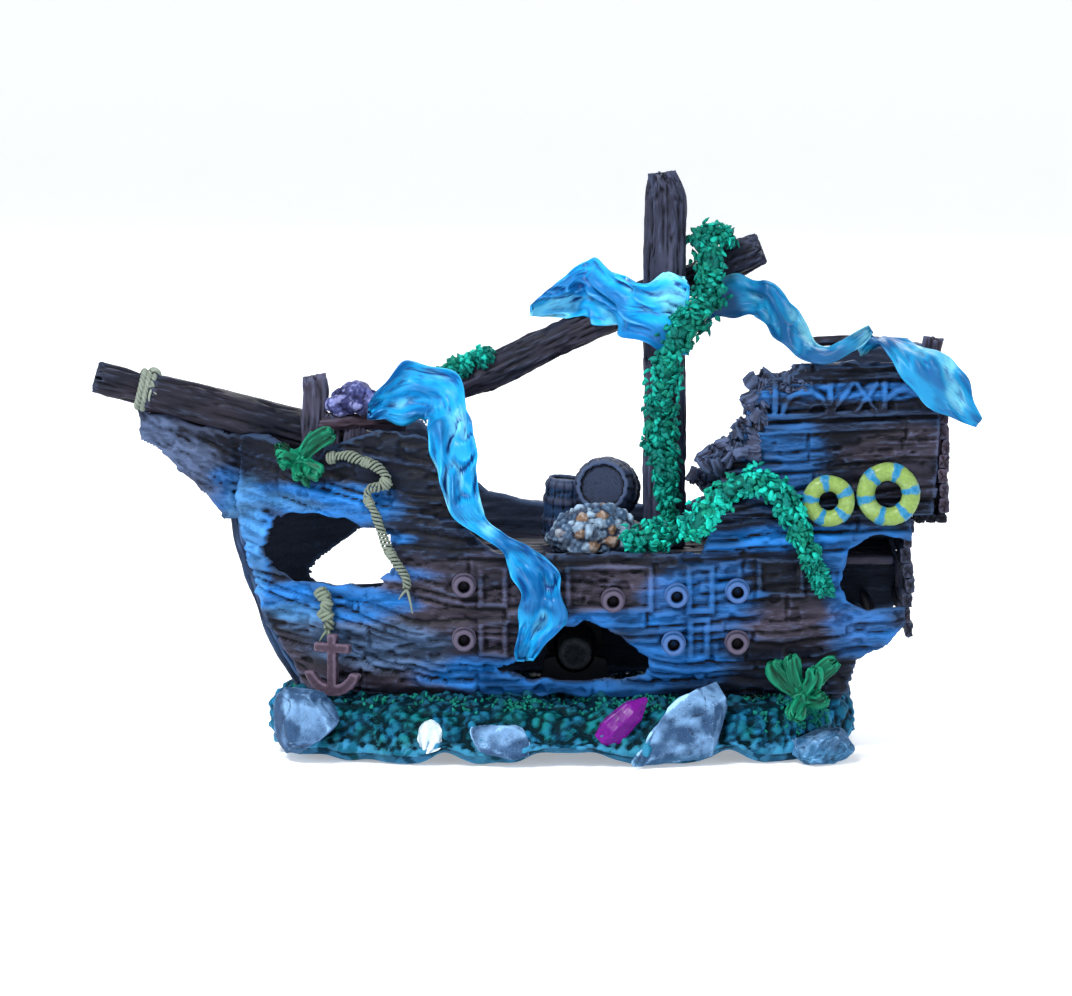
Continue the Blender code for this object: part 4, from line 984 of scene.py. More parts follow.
def make_sail(name, stations, seed, folds=1.0, tone=1.0):
    sail = Sculpt()
    table, run = curve_through(stations, 0.55)
    centre, reach = table[:, :3], table[:, 3:]
    wide = np.linalg.norm(reach, axis=1, keepdims=True)
    side = reach / wide
    tangent = unit(np.gradient(centre, axis=0))
    up = unit(np.cross(side, tangent))
    half = np.hstack([wide, np.full_like(wide, 0.95)])
    shape = outline(8, 0.95, 3.0, 96)
    p, _, _, faces = swept(centre, run, side, up, half, shape, (1.2, 1.2), seed)
    across = np.broadcast_to(shape[:, 0], p.shape[:2])
    share = np.linspace(0, 1, p.shape[0])[:, None]
    t = share * run[-1]
    here = along(wide, run, t)[..., 0]
    flow = xyz(t + 0 * across, across * here, 0 * across)
    skew = flow + xyz(0 * t, 0.28 * flow[..., 0], 0 * across)
    fold = 1.9 * noise(flow, (24, 3.3, 1), seed) + 1.3 * noise(flow, (11, 9, 1), seed + 2)
    for pitch, size, at in ((17, 5.2, 3), (10, 3.6, 9)):
        crease = np.abs(noise(skew + 40, (pitch, size, 1), seed + at))
        here_and_there = noise(flow, (15, 15, 1), seed + at + 1)
        fold += 0.40 * size * (0.5 - smooth(0.0, 0.7, crease)) * here_and_there * 2.2
    curl = -1.6 * smooth(0.72, 1.0, np.abs(across)) * (0.5 + 0.8 * noise(flow, (7, 30, 1), seed + 4))
    ups = along(up, run, t)
    sides = along(side, run, t)
    hang = 0.20 * here * noise(flow, (7, 90, 1), seed + 5) * np.abs(across)
    p = p + ups * (folds * (fold + curl))[..., None] + sides * (np.sign(across) * hang)[..., None]
    light = smooth(0.2, 1.9, fold + 1.1 * noise(flow, (10, 4.5, 1), seed + 6))
    deep = smooth(-0.1, -1.5, fold + 0.9 * noise(flow, (12, 6, 1), seed + 8))
    colour = tone * painted(p.shape[:2], SAIL, (0.9 * light, (0.21, 0.70, 0.90)),
        (0.75 * deep, (0.002, 0.070, 0.27)))
    sail.add(p, faces, colour, 0.45 * xyz(flow[..., 0] / 2, flow[..., 1], 0 * flow[..., 0]))
    sail.finish(name + "_cloth", SAIL_FINISH, name, 0.45)


# Creepers and leafy plants

LEAF_OUTLINES = {count: outline(1.0, 0.22, 2.6, count) for count in (8, 12, 20)}


def leaf(sculpt, base, way, normal, length, wide, curl, seed, paint, rows=8, thick=0.35, count=12,
        ruffle=0.16):
    """One cupped leaf, closed all round: way is its direction and normal its upper face."""
    t = np.linspace(0, 1, rows)[:, None]
    way, normal = unit(np.array(way, float)), np.array(normal, float)
    side = unit(np.cross(way, normal))
    normal = np.cross(side, way)
    bend = curl * t ** 1.7
    reach = np.sin(np.minimum(t * 1.2, 1.5)) * way / 0.93
    centre = np.array(base, float) + length * reach * t ** 0.15 - length * bend * normal
    width = wide * (np.sin(math.pi * np.clip(t, 0.06, 0.97) ** 0.8)) ** 0.75
    shape = LEAF_OUTLINES[count]
    wave = ruffle * wide * np.sin(9 * t + seed)
    across = shape[:, 0] * width
    lift = 0.30 * np.abs(shape[:, 0]) ** 1.6 * width + wave * np.abs(shape[:, 0])
    body = shape[:, 1] * (0.35 + 0.65 * np.minimum(width / wide, 1)) * thick
    p = centre[:, None, :] + side * across[..., None] + normal * (lift + body)[..., None]
    sculpt.add(p, tube_faces(rows, count), paint, xyz(t * length / 2 + 0 * shape[:, 0], across, body),
        0.10 * t.repeat(count, 1).ravel() - 0.02)


VINE_TINTS = ((0.002, 0.105, 0.085), (0.003, 0.20, 0.155), (0.001, 0.050, 0.045), (0.005, 0.28, 0.22),
    (0.002, 0.095, 0.060))


def make_vine(name, points, radius, seed, tuft=1.0, tone=(1.0, 1.0), tail=5.0):
    """A ropy core covered in tufts of small ruffled leaves."""
    vine = Sculpt()
    rng = np.random.default_rng(seed)
    path, run = curve_through(points, 0.7)
    shares = [min(0.85, 0.25 + 3.0 * t, 0.2 + 0.6 * tail * (1 - t)) for t in np.linspace(0, 1, len(points))]
    core = [(radius * share, radius * share) for share in shares]
    timber(vine, points, core, np.array((0.001, 0.045, 0.038)), count=26, rough=1.8, split=0.0,
           ends=(1.0, 1.0), seed=seed)
    tangent = unit(np.gradient(path, axis=0))
    for _ in range(int(run[-1] * 2.3)):
        k = int(rng.integers(len(path)))
        taper = 0.15 + 0.85 * min(1.0, 5.0 * k / len(path), tail * (1 - k / len(path)))
        radial = rng.normal(size=3)
        radial = unit(radial - tangent[k] * radial.dot(tangent[k]))
        tuft_at = path[k] + radial * radius * rng.uniform(0.5, 1.15) * taper * tuft
        tint = np.array(VINE_TINTS[int(rng.integers(5))]) * np.interp(k, (0, len(path)), tone)
        for _ in range(8):
            off = rng.normal(size=3)
            start = tuft_at + off * 0.9 - 0.5 * radial
            way = unit(off + 0.35 * radial + np.array((0, 0, -0.45)))
            leaf(vine, start, way, unit(radial + 0.35 * off), rng.uniform(1.5, 2.6), rng.uniform(0.7, 1.15),
                 rng.uniform(0.3, 0.9), rng.uniform(0, 6), tint * rng.uniform(0.6, 1.3), 5, 0.6, 8, 0.3)
    vine.finish(name + "_leaves", VINE_FINISH, name)


def make_plant(name, foot, tips, seed, extra):
    """Thick curling lobes out of one foot, with smaller ruffled leaves round them."""
    plant = Sculpt()
    rng = np.random.default_rng(seed)
    foot = np.array(foot, float)
    for k, tip in enumerate(tips):
        way = np.array(tip, float) - foot
        bend = np.cross(unit(way), (0, 1, 0)) * rng.uniform(-2.5, 2.5)
        line = [foot + way * t + bend * math.sin(2.6 * t) + np.array((0, -1.2 * t, 0))
                for t in (0, 0.3, 0.6, 0.85, 1.0)]
        tint = np.array((0.001, 0.085, 0.045)) * rng.uniform(0.5, 1.5)
        timber(plant, line, [(2.0, 1.5), (2.7, 1.7), (3.2, 1.7), (3.2, 1.6), (2.0, 1.2)], tint,
            up=(0, 1, 0), count=40, step=0.5, rough=2.2, split=0.5, ends=(0.5, 2.2), seed=seed * 10 + k)
    for i in range(extra):
        toward = np.array(tips[i % len(tips)], float) - foot
        way = toward * rng.uniform(0.4, 0.75) + rng.normal(size=3) * (2.6, 1.0, 2.2)
        tint = np.array((0.001, 0.10, 0.055)) * rng.uniform(0.5, 1.6)
        start = foot + way * rng.uniform(0.0, 0.4) + rng.normal(size=3) * (1.0, 0.5, 0.8)
        leaf(plant, start, way + np.array((0, -0.6, 1.0)), (rng.normal() * 0.9, -1, 0.45),
            np.linalg.norm(way) * 0.75, rng.uniform(1.5, 2.4), 0.2 + 0.6 * rng.random(), rng.uniform(0, 6),
            tint, 22, 1.2, 20, 0.4)
    timber(plant, [foot + (-2.6, 0.6, -1.2), foot + (0, 0.2, 0.2), foot + (2.6, 0.6, -1.0)], (2.6, 2.8),
        np.array((0.001, 0.06, 0.034)), count=40, step=0.5, rough=1.4, split=0.6, seed=seed)
    plant.finish(name + "_leaves", LEAF_FINISH, name)


# Ropes

def make_rope(name, points, radius, seed, knots=(), frayed=0, tint=(0.115, 0.140, 0.125), loose=0.62):
    """A laid rope of three strands, with knots tied at some points and a frayed end."""
    rope = Sculpt()
    rng = np.random.default_rng(seed)
    path, run = curve_through(points, 0.35)
    tangent = unit(np.gradient(path, axis=0))
    side = unit(np.cross(tangent, (0.25, 0.9, 0.35)))
    up = np.cross(side, tangent)
    for k in range(3):
        a = run * 2 * math.pi / (radius * 5.2) + k * 2 * math.pi / 3
        spread = radius * loose * (1 + 0.5 * noise(path, 4.0, seed))[:, None]
        strand = path + spread * (np.cos(a)[:, None] * side + np.sin(a)[:, None] * up)
        tube_mesh(rope, strand[::2], radius * 0.54, np.array(tint) * rng.uniform(0.8, 1.15), 9, 0.5,
            seed + k)
    for at, size in knots:
        k = int(at * (len(path) - 1))
        for turn in range(3):
            angle = np.linspace(0, 2 * math.pi, 15)
            tilt = tangent[k] * (turn - 1) * radius * 0.9
            loop = [path[k] + tilt + size * (math.cos(b) * side[k] + math.sin(b) * up[k] * 0.85)
                    + tangent[k] * radius * 0.5 * math.sin(b + turn) for b in angle]
            tube_mesh(rope, loop, radius * 0.6, np.array(tint) * rng.uniform(0.9, 1.2), 9, 0.5,
                seed + 9 + turn)
    for _ in range(frayed):
        way = tangent[-1] + 0.55 * rng.normal(size=3)
        end = path[-1] + way * rng.uniform(2, 4.2)
        tube_mesh(rope, [path[-1], (path[-1] + end) / 2 + 0.3 * rng.normal(size=3), end], (0.5, 0.4, 0.22),
            np.array(tint) * 1.1, 7, 0.5, 3)
    rope.finish(name + "_strands", ROPE_FINISH, name)


def on_side(places):
    """Points that lie on the port side of the hull, from (x, z) pairs."""
    return [(x, -side_at(x, z) - 2.9, z) for x, z in places]


def make_ropes():
    fall = on_side(((-78.5, 54), (-76.5, 51), (-77.5, 47.5), (-75.8, 45), (-76.2, 41.8)))
    make_rope("anchor_rope", fall, 1.15, 51, ((0.05, 1.8), (0.35, 1.5), (0.62, 1.9)), 9,
        (0.062, 0.090, 0.070), 1.0)
    fall = on_side(((-75, 99), (-70, 100), (-64.5, 98.5), (-59.5, 96.5), (-56.5, 93), (-58.5, 90.5),
        (-62, 89.5), (-63, 86.5), (-60.5, 81.5), (-58.5, 76), (-56.5, 70.5), (-53.5, 65.5), (-50.5, 61),
        (-50, 57)))
    make_rope("bow_rope", fall, 0.82, 52, ((0.01, 1.7), (0.20, 1.5), (0.36, 1.9), (0.52, 1.3), (0.80, 1.4)),
        3, (0.068, 0.090, 0.076), 1.35)
    side = np.array((0.0, 1.0, 0.0))
    up = np.cross(BOWSPRIT_WAY, side)
    radius, start, pitch = 6.1, 15.4, 4.4 / 16
    turns = [BOWSPRIT_TIP + BOWSPRIT_WAY * (start + pitch * a)
        + radius * (math.cos(a) * side + math.sin(a) * up) for a in np.linspace(0, 15.4, 90)]
    make_rope("bowsprit_lashing", turns, 1.0, 53, ((0.93, 1.9),), 4)


# Castings that start from the model's own solids

def remeshed(node, voxel, rounds):
    """(points in mm, normals, faces) of a CAD node remeshed evenly, a little rounded."""
    copy = add_object(node + "_copy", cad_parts[node].data.copy())
    remesh = copy.modifiers.new("remesh", "REMESH")
    remesh.mode = "VOXEL"
    remesh.voxel_size = voxel * MM
    soften = copy.modifiers.new("soften", "SMOOTH")
    soften.iterations = rounds
    soften.factor = 0.5
    shaped = copy.evaluated_get(bpy.context.evaluated_depsgraph_get()).to_mesh()
    points, normals = vectors(shaped.vertices, "co"), vectors(shaped.vertex_normals, "vector")
    corners = [tuple(face.vertices) for face in shaped.polygons]
    bpy.data.objects.remove(copy)
    faces = [np.array([f for f in corners if len(f) == sides]) for sides in (3, 4)]
    return points.astype(float) / MM, normals.astype(float), faces


def cast(name, node, voxel, material, height, paint, rounds=2, curve=1.0, grow=(1, 1, 1), shift=(0, 0, 0)):
    """A piece shaped from its CAD solid: height gives mm to stand out, grow and shift its size and place."""
    p, normals, faces = remeshed(node, voxel, rounds)
    foot = np.array((*middle(node)[:2], low(node)[2]))
    p = foot + (p - foot) * grow + shift
    lift = height(p, normals)
    colour = paint(p, normals, lift)
    piece = Sculpt()
    piece.add(p + (normals * lift[:, None] if lift.ndim == 1 else lift), faces, colour, p)
    return piece.finish(name, material, node, curve)


def rock_height(size, amount, seed, planes=16):
    """Stone: flats chiselled off it, then lumps, pits and a few cracks."""
    def height(p, normals):
        rng = np.random.default_rng(seed)
        moved = p.copy()
        for _ in range(planes):
            way = unit(rng.normal(size=3) * (1, 1, 0.8))
            reach = moved @ way
            excess = np.maximum(0, reach - np.quantile(reach, rng.uniform(0.80, 0.95)))
            moved -= way * (0.85 * excess)[:, None]
        lump = amount * (0.55 * fractal(p, size, 3, seed) + 0.16 * fractal(p, size * 0.3, 2, seed + 1)
                         - 0.2 * cracks(p, size * 1.3, 0.05, seed + 2))
        return moved - p + normals * (0.5 + lump)[:, None]
    return height


def rock_paint(p, normals, lift):
    patch = smooth(-0.3, 0.3, fractal(p, 6.0, 3, 61))
    # Painted highlight: faces turned up, to the front and to the left, towards the key light, get a paler
    # blue on the patches
    key_lit_side = smooth(-0.1, 0.9, normals[:, 2] - 0.45 * normals[:, 1] - 0.3 * normals[:, 0])
    under = smooth(5.0, 0.0, p[:, 2])
    return painted(p.shape[:-1], (0.026, 0.072, 0.165), (0.8 * patch, (0.065, 0.150, 0.320)),
                   (0.8 * key_lit_side * patch, (0.22, 0.42, 0.70)), (0.5 * under, (0.03, 0.13, 0.24)))


def mossy_paint(p, normals, lift):
    # Carries the rock's painted highlight on the side towards the key light, and the base's painted shadow
    # along its top band
    return 0.6 * rock_paint(p, normals, lift) + 0.7 * base_paint(p, normals, lift)


BASE_ARCHES = ((-78, 5, 2.0), (-37, 6, 4.5), (-6, 9, 3.5), (9, 9, 4.5), (54, 8, 4.0), (88, 5, 3.0))


def base_height(p, normals):
    """Piled stones and gravel, with a lower edge that rises between the lobes."""
    d, own = pebbles(p, 8.5, 70)
    mid, other = pebbles(p, 3.6, 71)
    small, _ = pebbles(p, 1.7, 72)
    side = smooth(-0.7, -0.1, normals[:, 2])
    stones = 5.0 * (0.60 - d) * (0.2 + own) + 2.6 * (0.58 - mid) * (0.4 + other) + 0.9 * (0.6 - small)
    arches = sum(height * np.exp(-((p[:, 0] - x) / wide) ** 2) for x, wide, height in BASE_ARCHES)
    arches = np.clip(arches + 0.8 * noise(p, (7, 9, 90), 77), 0, 6)
    out = stones + 1.4 * fractal(p, 14.0, 2, 73) + 1.2 - 0.35 * arches * smooth(16, 4, p[:, 2])
    out = out - 1.8 * smooth(14, 19, p[:, 2])
    moved = normals * (side * out)[:, None]
    rim = smooth(5, 30, -p[:, 1]) + smooth(5, 30, p[:, 1])
    moved[:, 2] += arches * rim * smooth(9.0, 0.0, p[:, 2])
    moved[:, 2] = np.maximum(moved[:, 2], -p[:, 2])
    return moved


def base_paint(p, normals, lift):
    moss = airbrush(p, ((-52, 12, 26, 11, 1.0), (-12, 13, 22, 9, 0.9), (22, 12, 18, 9, 0.9),
        (66, 13, 12, 7, 0.8), (-30, 8, 30, 9, 0.7)), 0.7, 81)
    moss *= smooth(-0.5, 0.4, fractal(p, 5.0, 2, 82))
    own = pebbles(p, 3.6, 71)[1]
    skirt = smooth(10.0, 2.0, p[:, 2])
    # The last layer is painted shadow: it turns the top band of the base, round the hull's foot, near-black
    return painted(p.shape[:-1], (0.002, 0.042, 0.090), (0.8 * smooth(0.3, 0.9, own), (0.010, 0.11, 0.25)),
        (0.9 * moss, (0.000, 0.045, 0.040)), (0.7 * moss * smooth(0.5, 0.9, own), (0.001, 0.11, 0.085)),
        (0.75 * skirt * smooth(0.2, 0.6, own), (0.045, 0.20, 0.35)),
        (0.85 * smooth(15.5, 19.0, p[:, 2]), (0.002, 0.006, 0.012)))


def grow_moss(base):
    """Small tufts of weed along the top of the base, thickest against the hull."""
    place, normals = vectors(base.data.vertices, "co") / MM, vectors(base.data.vertex_normals, "vector")
    rng = np.random.default_rng(88)
    x = place[:, 0].astype(float)
    near_hull = smooth(17, 3, np.abs(place[:, 1]) - half_breadth(x, 22.0 + 0 * x))
    patch = smooth(-0.25, 0.4, fractal(place.astype(float), (16, 16, 9), 2, 84))
    chance = near_hull * patch * smooth(-0.2, 0.4, normals[:, 2])
    chance = chance * smooth(7, 12, place[:, 2]) * smooth(20.5, 16.5, place[:, 2])
    chance *= np.abs(place[:, 0]) < 88
    moss = Sculpt()
    for k in rng.choice(len(place), 2400, p=chance / chance.sum()):
        way = unit(normals[k] + 0.7 * rng.normal(size=3) + np.array((0, 0, 0.5)))
        tint = np.array((0.002, 0.070, 0.055)) * rng.uniform(0.4, 1.8)
        leaf(moss, place[k] - 0.3 * normals[k], way, rng.normal(size=3), rng.uniform(1.0, 1.9),
            rng.uniform(0.5, 0.9), 0.3, rng.uniform(0, 6), tint, 5, 0.4, 8, 0.3)
    moss.finish("base_moss", VINE_FINISH)


def make_castings():
    base = cast("base_gravel", "base_casting", 0.75, GRAVEL_FINISH, base_height, base_paint, curve=1.7)
    grow_moss(base)
    for node, size, amount, seed, grow in (("rock_bow", 9.0, 1.7, 1, (1.12, 1.05, 1.12)),
            ("rock_wedge", 10.0, 1.5, 2, (1.3, 1.15, 1.22)), ("rock_small", 5.0, 1.2, 3, (1.8, 1.5, 1.6)),
            ("rock_stern", 6.0, 1.8, 4, (1.25, 1.15, 1.0))):
        cast(node + "_stone", node, 0.5, ROCK_FINISH, rock_height(size, amount, seed),
             mossy_paint if node == "rock_stern" else rock_paint, 3, 0.7, grow)

    def ribs(p, normals):
        c = middle("white_shell")
        a = np.arctan2(p[:, 0] - c[0], p[:, 2] - low("white_shell")[2] + 1.5)
        return 0.3 * np.cos(a * 11) * smooth(-0.1, 0.6, -normals[:, 1]) + 0.15 * fractal(p, 2.0, 2, 5)

    cast("white_shell_stone", "white_shell", 0.3, SHELL_FINISH, ribs, lambda p, n, h: painted(
        p.shape[:-1], (0.58, 0.72, 0.82), (smooth(0, 0.7, fractal(p, 3.0, 2, 9)), (0.74, 0.84, 0.90))), 3,
        shift=(2.2, 0, -0.3))

    def coral_lumps(p, normals):
        d, own = pebbles(p, 3.6, 91)
        tiny, _ = pebbles(p, 1.5, 92)
        return 2.0 * (0.55 - d) * (0.3 + own) + 0.6 * (0.55 - tiny)

    def coral_paint(p, normals, lift):
        own = pebbles(p, 3.6, 91)[1]
        orange = smooth(0.85, 0.90, own)
        dark = smooth(0.25, 0.15, own)
        return painted(p.shape[:-1], (0.055, 0.105, 0.19), (smooth(0.45, 0.6, own), (0.20, 0.29, 0.40)),
                       (orange, (0.20, 0.12, 0.07)), (0.7 * dark, (0.05, 0.06, 0.09)))

    cast("deck_coral_lumps", "deck_coral", 0.4, CORAL_FINISH, coral_lumps, coral_paint, 2,
         grow=(1.08, 1.0, 1.25), shift=(1.5, 0, 0.6))

    def knobs(p, normals):
        return 2.3 * (0.6 - pebbles(p, 4.6, 95)[0]) + 0.5 * fractal(p, 1.6, 2, 96)

    def purple_paint(p, normals, lift):
        own = pebbles(p, 4.6, 95)[1]
        return painted(p.shape[:-1], (0.035, 0.040, 0.13), (smooth(0.4, 0.7, own), (0.10, 0.12, 0.34)),
                       (0.6 * smooth(0.8, 0.9, own), (0.03, 0.03, 0.05)))

    cast("purple_coral_knobs", "purple_coral", 0.35, PURPLE_FINISH, knobs, purple_paint, 2,
         shift=(1.2, 0, 0.9))
    cast("anchor_casting", "anchor", 0.3, IRON_FINISH, lambda p, n: 0.35 + 0.22 * fractal(p, 1.8, 2, 101),
        lambda p, n, h: (0.060, 0.040, 0.062), 4, shift=(1.8, 0, -0.6))


def in_order(points, faces):
    """Points and triangles sorted by place, so that each run numbers them alike."""
    order = np.lexsort(points.round(4).T)
    faces = np.argsort(order)[faces]
    turned = (faces.argmin(axis=1)[:, None] + np.arange(3)) % 3
    faces = np.take_along_axis(faces, turned, axis=1)
    return points[order], faces[np.lexsort(faces.T)]


def make_crystal():
    """A faceted point: the solid's own facets, cut again and bevelled."""
    bm = bmesh.new()
    bm.from_mesh(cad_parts["pink_crystal"].data)
    bmesh.ops.remove_doubles(bm, verts=bm.verts, dist=0.01 * MM)
    bmesh.ops.dissolve_limit(bm, angle_limit=0.05, verts=bm.verts, edges=bm.edges)
    bmesh.ops.bevel(bm, geom=bm.edges[:] + bm.verts[:], offset=0.45 * MM, segments=2, affect="EDGES",
        profile=0.6)
    bmesh.ops.triangulate(bm, faces=bm.faces)
    bmesh.ops.subdivide_edges(bm, edges=bm.edges, cuts=3, use_grid_fill=True)
    points, faces = in_order(np.array([v.co[:] for v in bm.verts]) / MM,
                             np.array([[v.index for v in f.verts] for f in bm.faces]))
    bm.free()
    chip = 0.35 * np.abs(noise(points, (3.0, 3.0, 2.2), 7))[:, None]
    centre = points.mean(axis=0)
    sculpt = Sculpt()
    colour = painted((len(points),), (0.15, 0.006, 0.22),
        (smooth(0, 0.6, noise(points, 4.0, 5)), (0.34, 0.020, 0.42)),
        (smooth(0.1, 0.8, noise(points, 3.0, 8)) * 0.5, (0.10, 0.006, 0.16)))
    sculpt.add(points - unit(points - centre) * chip, (faces,), colour)
    crystal = sculpt.finish("pink_crystal_facets", CRYSTAL_FINISH, "pink_crystal", 0.6)
    crystal.data.shade_flat()


def turned_patch(sculpt, profile, centre, axis, paint, count=64, wobble=0.1, seed=0, bump=None):
    """A turned form from (radius, distance along) pairs, closed at both ends."""
    axis = unit(np.array(axis, float))
    side = unit(np.cross(axis, (0.1, 0.2, 1.0) if abs(axis[2]) < 0.9 else (0, 1, 0)))
    up = np.cross(axis, side)
    dense = []
    for (r0, t0), (r1, t1) in zip(profile, profile[1:]):
        steps = max(1, int(math.hypot(r1 - r0, t1 - t0) / 0.6))
        dense += [(r0 + (r1 - r0) * s / steps, t0 + (t1 - t0) * s / steps) for s in range(steps)]
    dense.append(profile[-1])
    rt = np.array(dense)
    rt[:, 0] = np.maximum(rt[:, 0], 0.02)
    a = np.linspace(0, 2 * math.pi, count, endpoint=False)
    radial = np.cos(a)[:, None] * side + np.sin(a)[:, None] * up
    p = np.array(centre, float) + rt[:, None, 1:] * axis + rt[:, None, :1] * radial
    r, t, a = np.broadcast_arrays(rt[:, :1], rt[:, 1:], a)
    lift = wobble * fractal(p, 1.8, 2, seed)
    if bump:
        lift = lift + bump(r, t, a, p)
    p = p + radial * (lift * np.minimum(1, r / 0.8))[..., None]
    sculpt.add(p, tube_faces(len(rt), count), paint(p, r, t, a) if callable(paint) else paint,
               xyz(t / 4, r * np.cos(a), r * np.sin(a)))


def make_guns():
    for prefix, side, number in (("cannon_port", -1, 7), ("cannon_starboard", 1, 3)):
        for k in range(1, number + 1):
            node = f"{prefix}_{k}"
            lo, hi = low(node), high(node)
            c = (lo + hi) / 2
            gun = Sculpt()
            start = np.array((c[0], hi[1] if side < 0 else lo[1], c[2]))
            tint = painted((1,), (0.040, 0.036, 0.058),
                (np.array([1.0 if k in (4, 5, 6) and side < 0 else 0.0]), (0.015, 0.080, 0.230)))[0]
            turned_patch(gun, ((0, 1.2), (1.9, 1.3), (2.0, 5.4), (2.3, 6.0), (3.0, 6.0), (3.5, 5.5),
                (3.5, 4.7), (2.9, 4.2), (3.1, 1.8), (3.9, 1.2), (4.1, 0.1), (3.6, 0.0), (0, 0)), start,
                (0, side, 0), tint, 56, 0.14, 7 * k)
            gun.finish(node + "_muzzle", IRON_FINISH, node)


def make_life_rings():
    for node, bands, turn in (("life_ring_large", 6, 0.2), ("life_ring_small", 5, 0.5)):
        lo, hi = low(node), high(node)
        c = (lo + hi) / 2
        minor = (hi[1] - lo[1]) / 2 * 0.97
        major = (hi[2] - lo[2]) / 2 - minor
        ring = Sculpt()
        rows, count = 180, 40
        a = np.linspace(0, 2 * math.pi, rows, endpoint=False)[:, None]
        b = np.linspace(0, 2 * math.pi, count, endpoint=False)[None]
        band = np.cos((a - turn) * bands) + 0.12 * np.sin(5 * b + 3 * a)
        mask = smooth(0.52, 0.66, band) + 0 * b
        r = minor * (0.96 + 0.055 * mask)
        radial = major + r * np.cos(b)
        p = xyz(c[0] + radial * np.cos(a), c[1] + r * np.sin(b) - 0.03 * radial * np.cos(a),
            c[2] + radial * np.sin(a))
        p = p + unit(p - c) * (0.16 * fractal(p, 2.6, 2, 3))[..., None]
        colour = painted(p.shape[:2], (0.20, 0.31, 0.075),
            (0.6 * smooth(0.0, 0.7, fractal(p, 3.5, 2, 4)), (0.28, 0.42, 0.19)),
            (mask, (0.008, 0.17, 0.36)))
        i, j = np.meshgrid(np.arange(rows), np.arange(count), indexing="ij")
        faces = np.stack([i * count + j, i * count + (j + 1) % count, (i + 1) % rows * count
            + (j + 1) % count, (i + 1) % rows * count + j], -1).reshape(-1, 4)
        ring.add(p, (faces,), colour)
        ring.finish(node + "_tube", RING_FINISH, node, 0.8)


def make_barrels():
    """Barrels with staves, hoops and boarded heads."""
    def staves(hoops, number, seed):
        def bump(r, t, a, p):
            groove = -0.35 * smooth(0.16, 0.0, np.abs(((a / (2 * math.pi) * number) % 1) - 0.5) * -1 + 0.5)
            iron = sum(0.55 * smooth(1.3, 0.9, np.abs(t - at)) for at in hoops)
            return groove + iron + 0.35 * fractal(xyz(t / 5, p[..., 1], p[..., 2]), 1.3, 2, seed)
        return bump

    def barrel_paint(hoops, top, rim):
        def paint(p, r, t, a):
            iron = sum(smooth(1.2, 0.9, np.abs(t - at)) for at in hoops)
            head = smooth(top - 1.6, top - 0.8, t) * smooth(rim, rim - 0.6, r)
            edge = smooth(top - 2.5, top - 0.6, t) * (1 - head)
            return painted(p.shape[:-1], (0.019, 0.044, 0.108),
                (smooth(0, 0.6, fractal(p, 4.0, 2, 3)) * 0.5, (0.024, 0.085, 0.225)),
                (iron, (0.018, 0.022, 0.044)), (head * 0.8, (0.040, 0.090, 0.215)),
                (edge * 0.9, (0.032, 0.044, 0.084)))
        return paint

    large = Sculpt()
    hoops = (2.6, 7.5, 14.5, 19.2)
    turned_patch(large, ((0, 0), (8.2, 0), (9.3, 2.6), (10.0, 7), (10.1, 12), (9.7, 17), (8.9, 20.4),
        (8.6, 21.6), (7.4, 21.6), (7.2, 20.2), (0, 20.2)), (17.6, 15.5, 82.4), (-0.18, -1.0, 0.22),
        barrel_paint(hoops, 21.6, 7.6), 120, 0.16, 3, staves(hoops, 14, 4))
    for x, z in ((9.5, 70.4), (24.5, 70.2), (17.0, 69.6)):
        timber(large, [(x, 17, z), (x + 0.6, 5, z + 0.4), (x - 0.4, -4.5, z)], (2.6, 2.4), DARK_WOOD,
            count=32, step=0.7, rough=1.0, split=0.6, ends=(1.0, 1.4), seed=int(90 + x))
    large.finish("barrel_large_staves", TIMBER_FINISH, "barrel_large")
    small = Sculpt()
    c = middle("barrel_small")
    hoops = (2.6, 7.6, 14.6, 19.8)
    turned_patch(small, ((0, 0), (5.2, 0), (6.0, 4), (6.4, 11), (6.0, 18), (5.3, 22.0), (4.6, 22.0),
        (4.4, 20.9), (0, 20.9)), (c[0] + 2.6, c[1], low("barrel_small")[2] + 0.4), (0.07, -0.05, 1),
        barrel_paint(hoops, 22.0, 4.7), 90, 0.16, 5, staves(hoops, 12, 6))
    small.finish("barrel_small_staves", TIMBER_FINISH, "barrel_small")


def make_bubbler():
    """The air stone and the moulded parts round it: the stone is grainy, the rest keeps its solid."""
    centre = middle("air_stone")
    stone = Sculpt()
    start = np.array((centre[0], low("air_stone")[1], centre[2]))
    long = high("air_stone")[1] - low("air_stone")[1]

    def grains(r, t, a, p):
        return 0.45 * (0.55 - pebbles(p, 0.95, 3)[0]) - 0.25

    # Painted shade: the stone is coloured near-black to stand for the shade inside the hull round it
    turned_patch(stone, ((0, 0.3), (4.4, 0.3), (5.6, 1.2), (5.8, 8), (5.8, long - 1.4), (5.2, long - 0.4),
        (2.4, long - 0.4), (0, long - 0.3)), start, (0, 1, 0), lambda p, r, t,
        a: painted(p.shape[:-1], (0.010, 0.013, 0.018),
        (smooth(0.3, 0.8, pebbles(p, 0.95, 3)[1]), (0.020, 0.025, 0.033))), 110, 0.05, 3, grains)
    stone.finish("air_stone_grains", STONE_FINISH, "air_stone", body="bubbler")


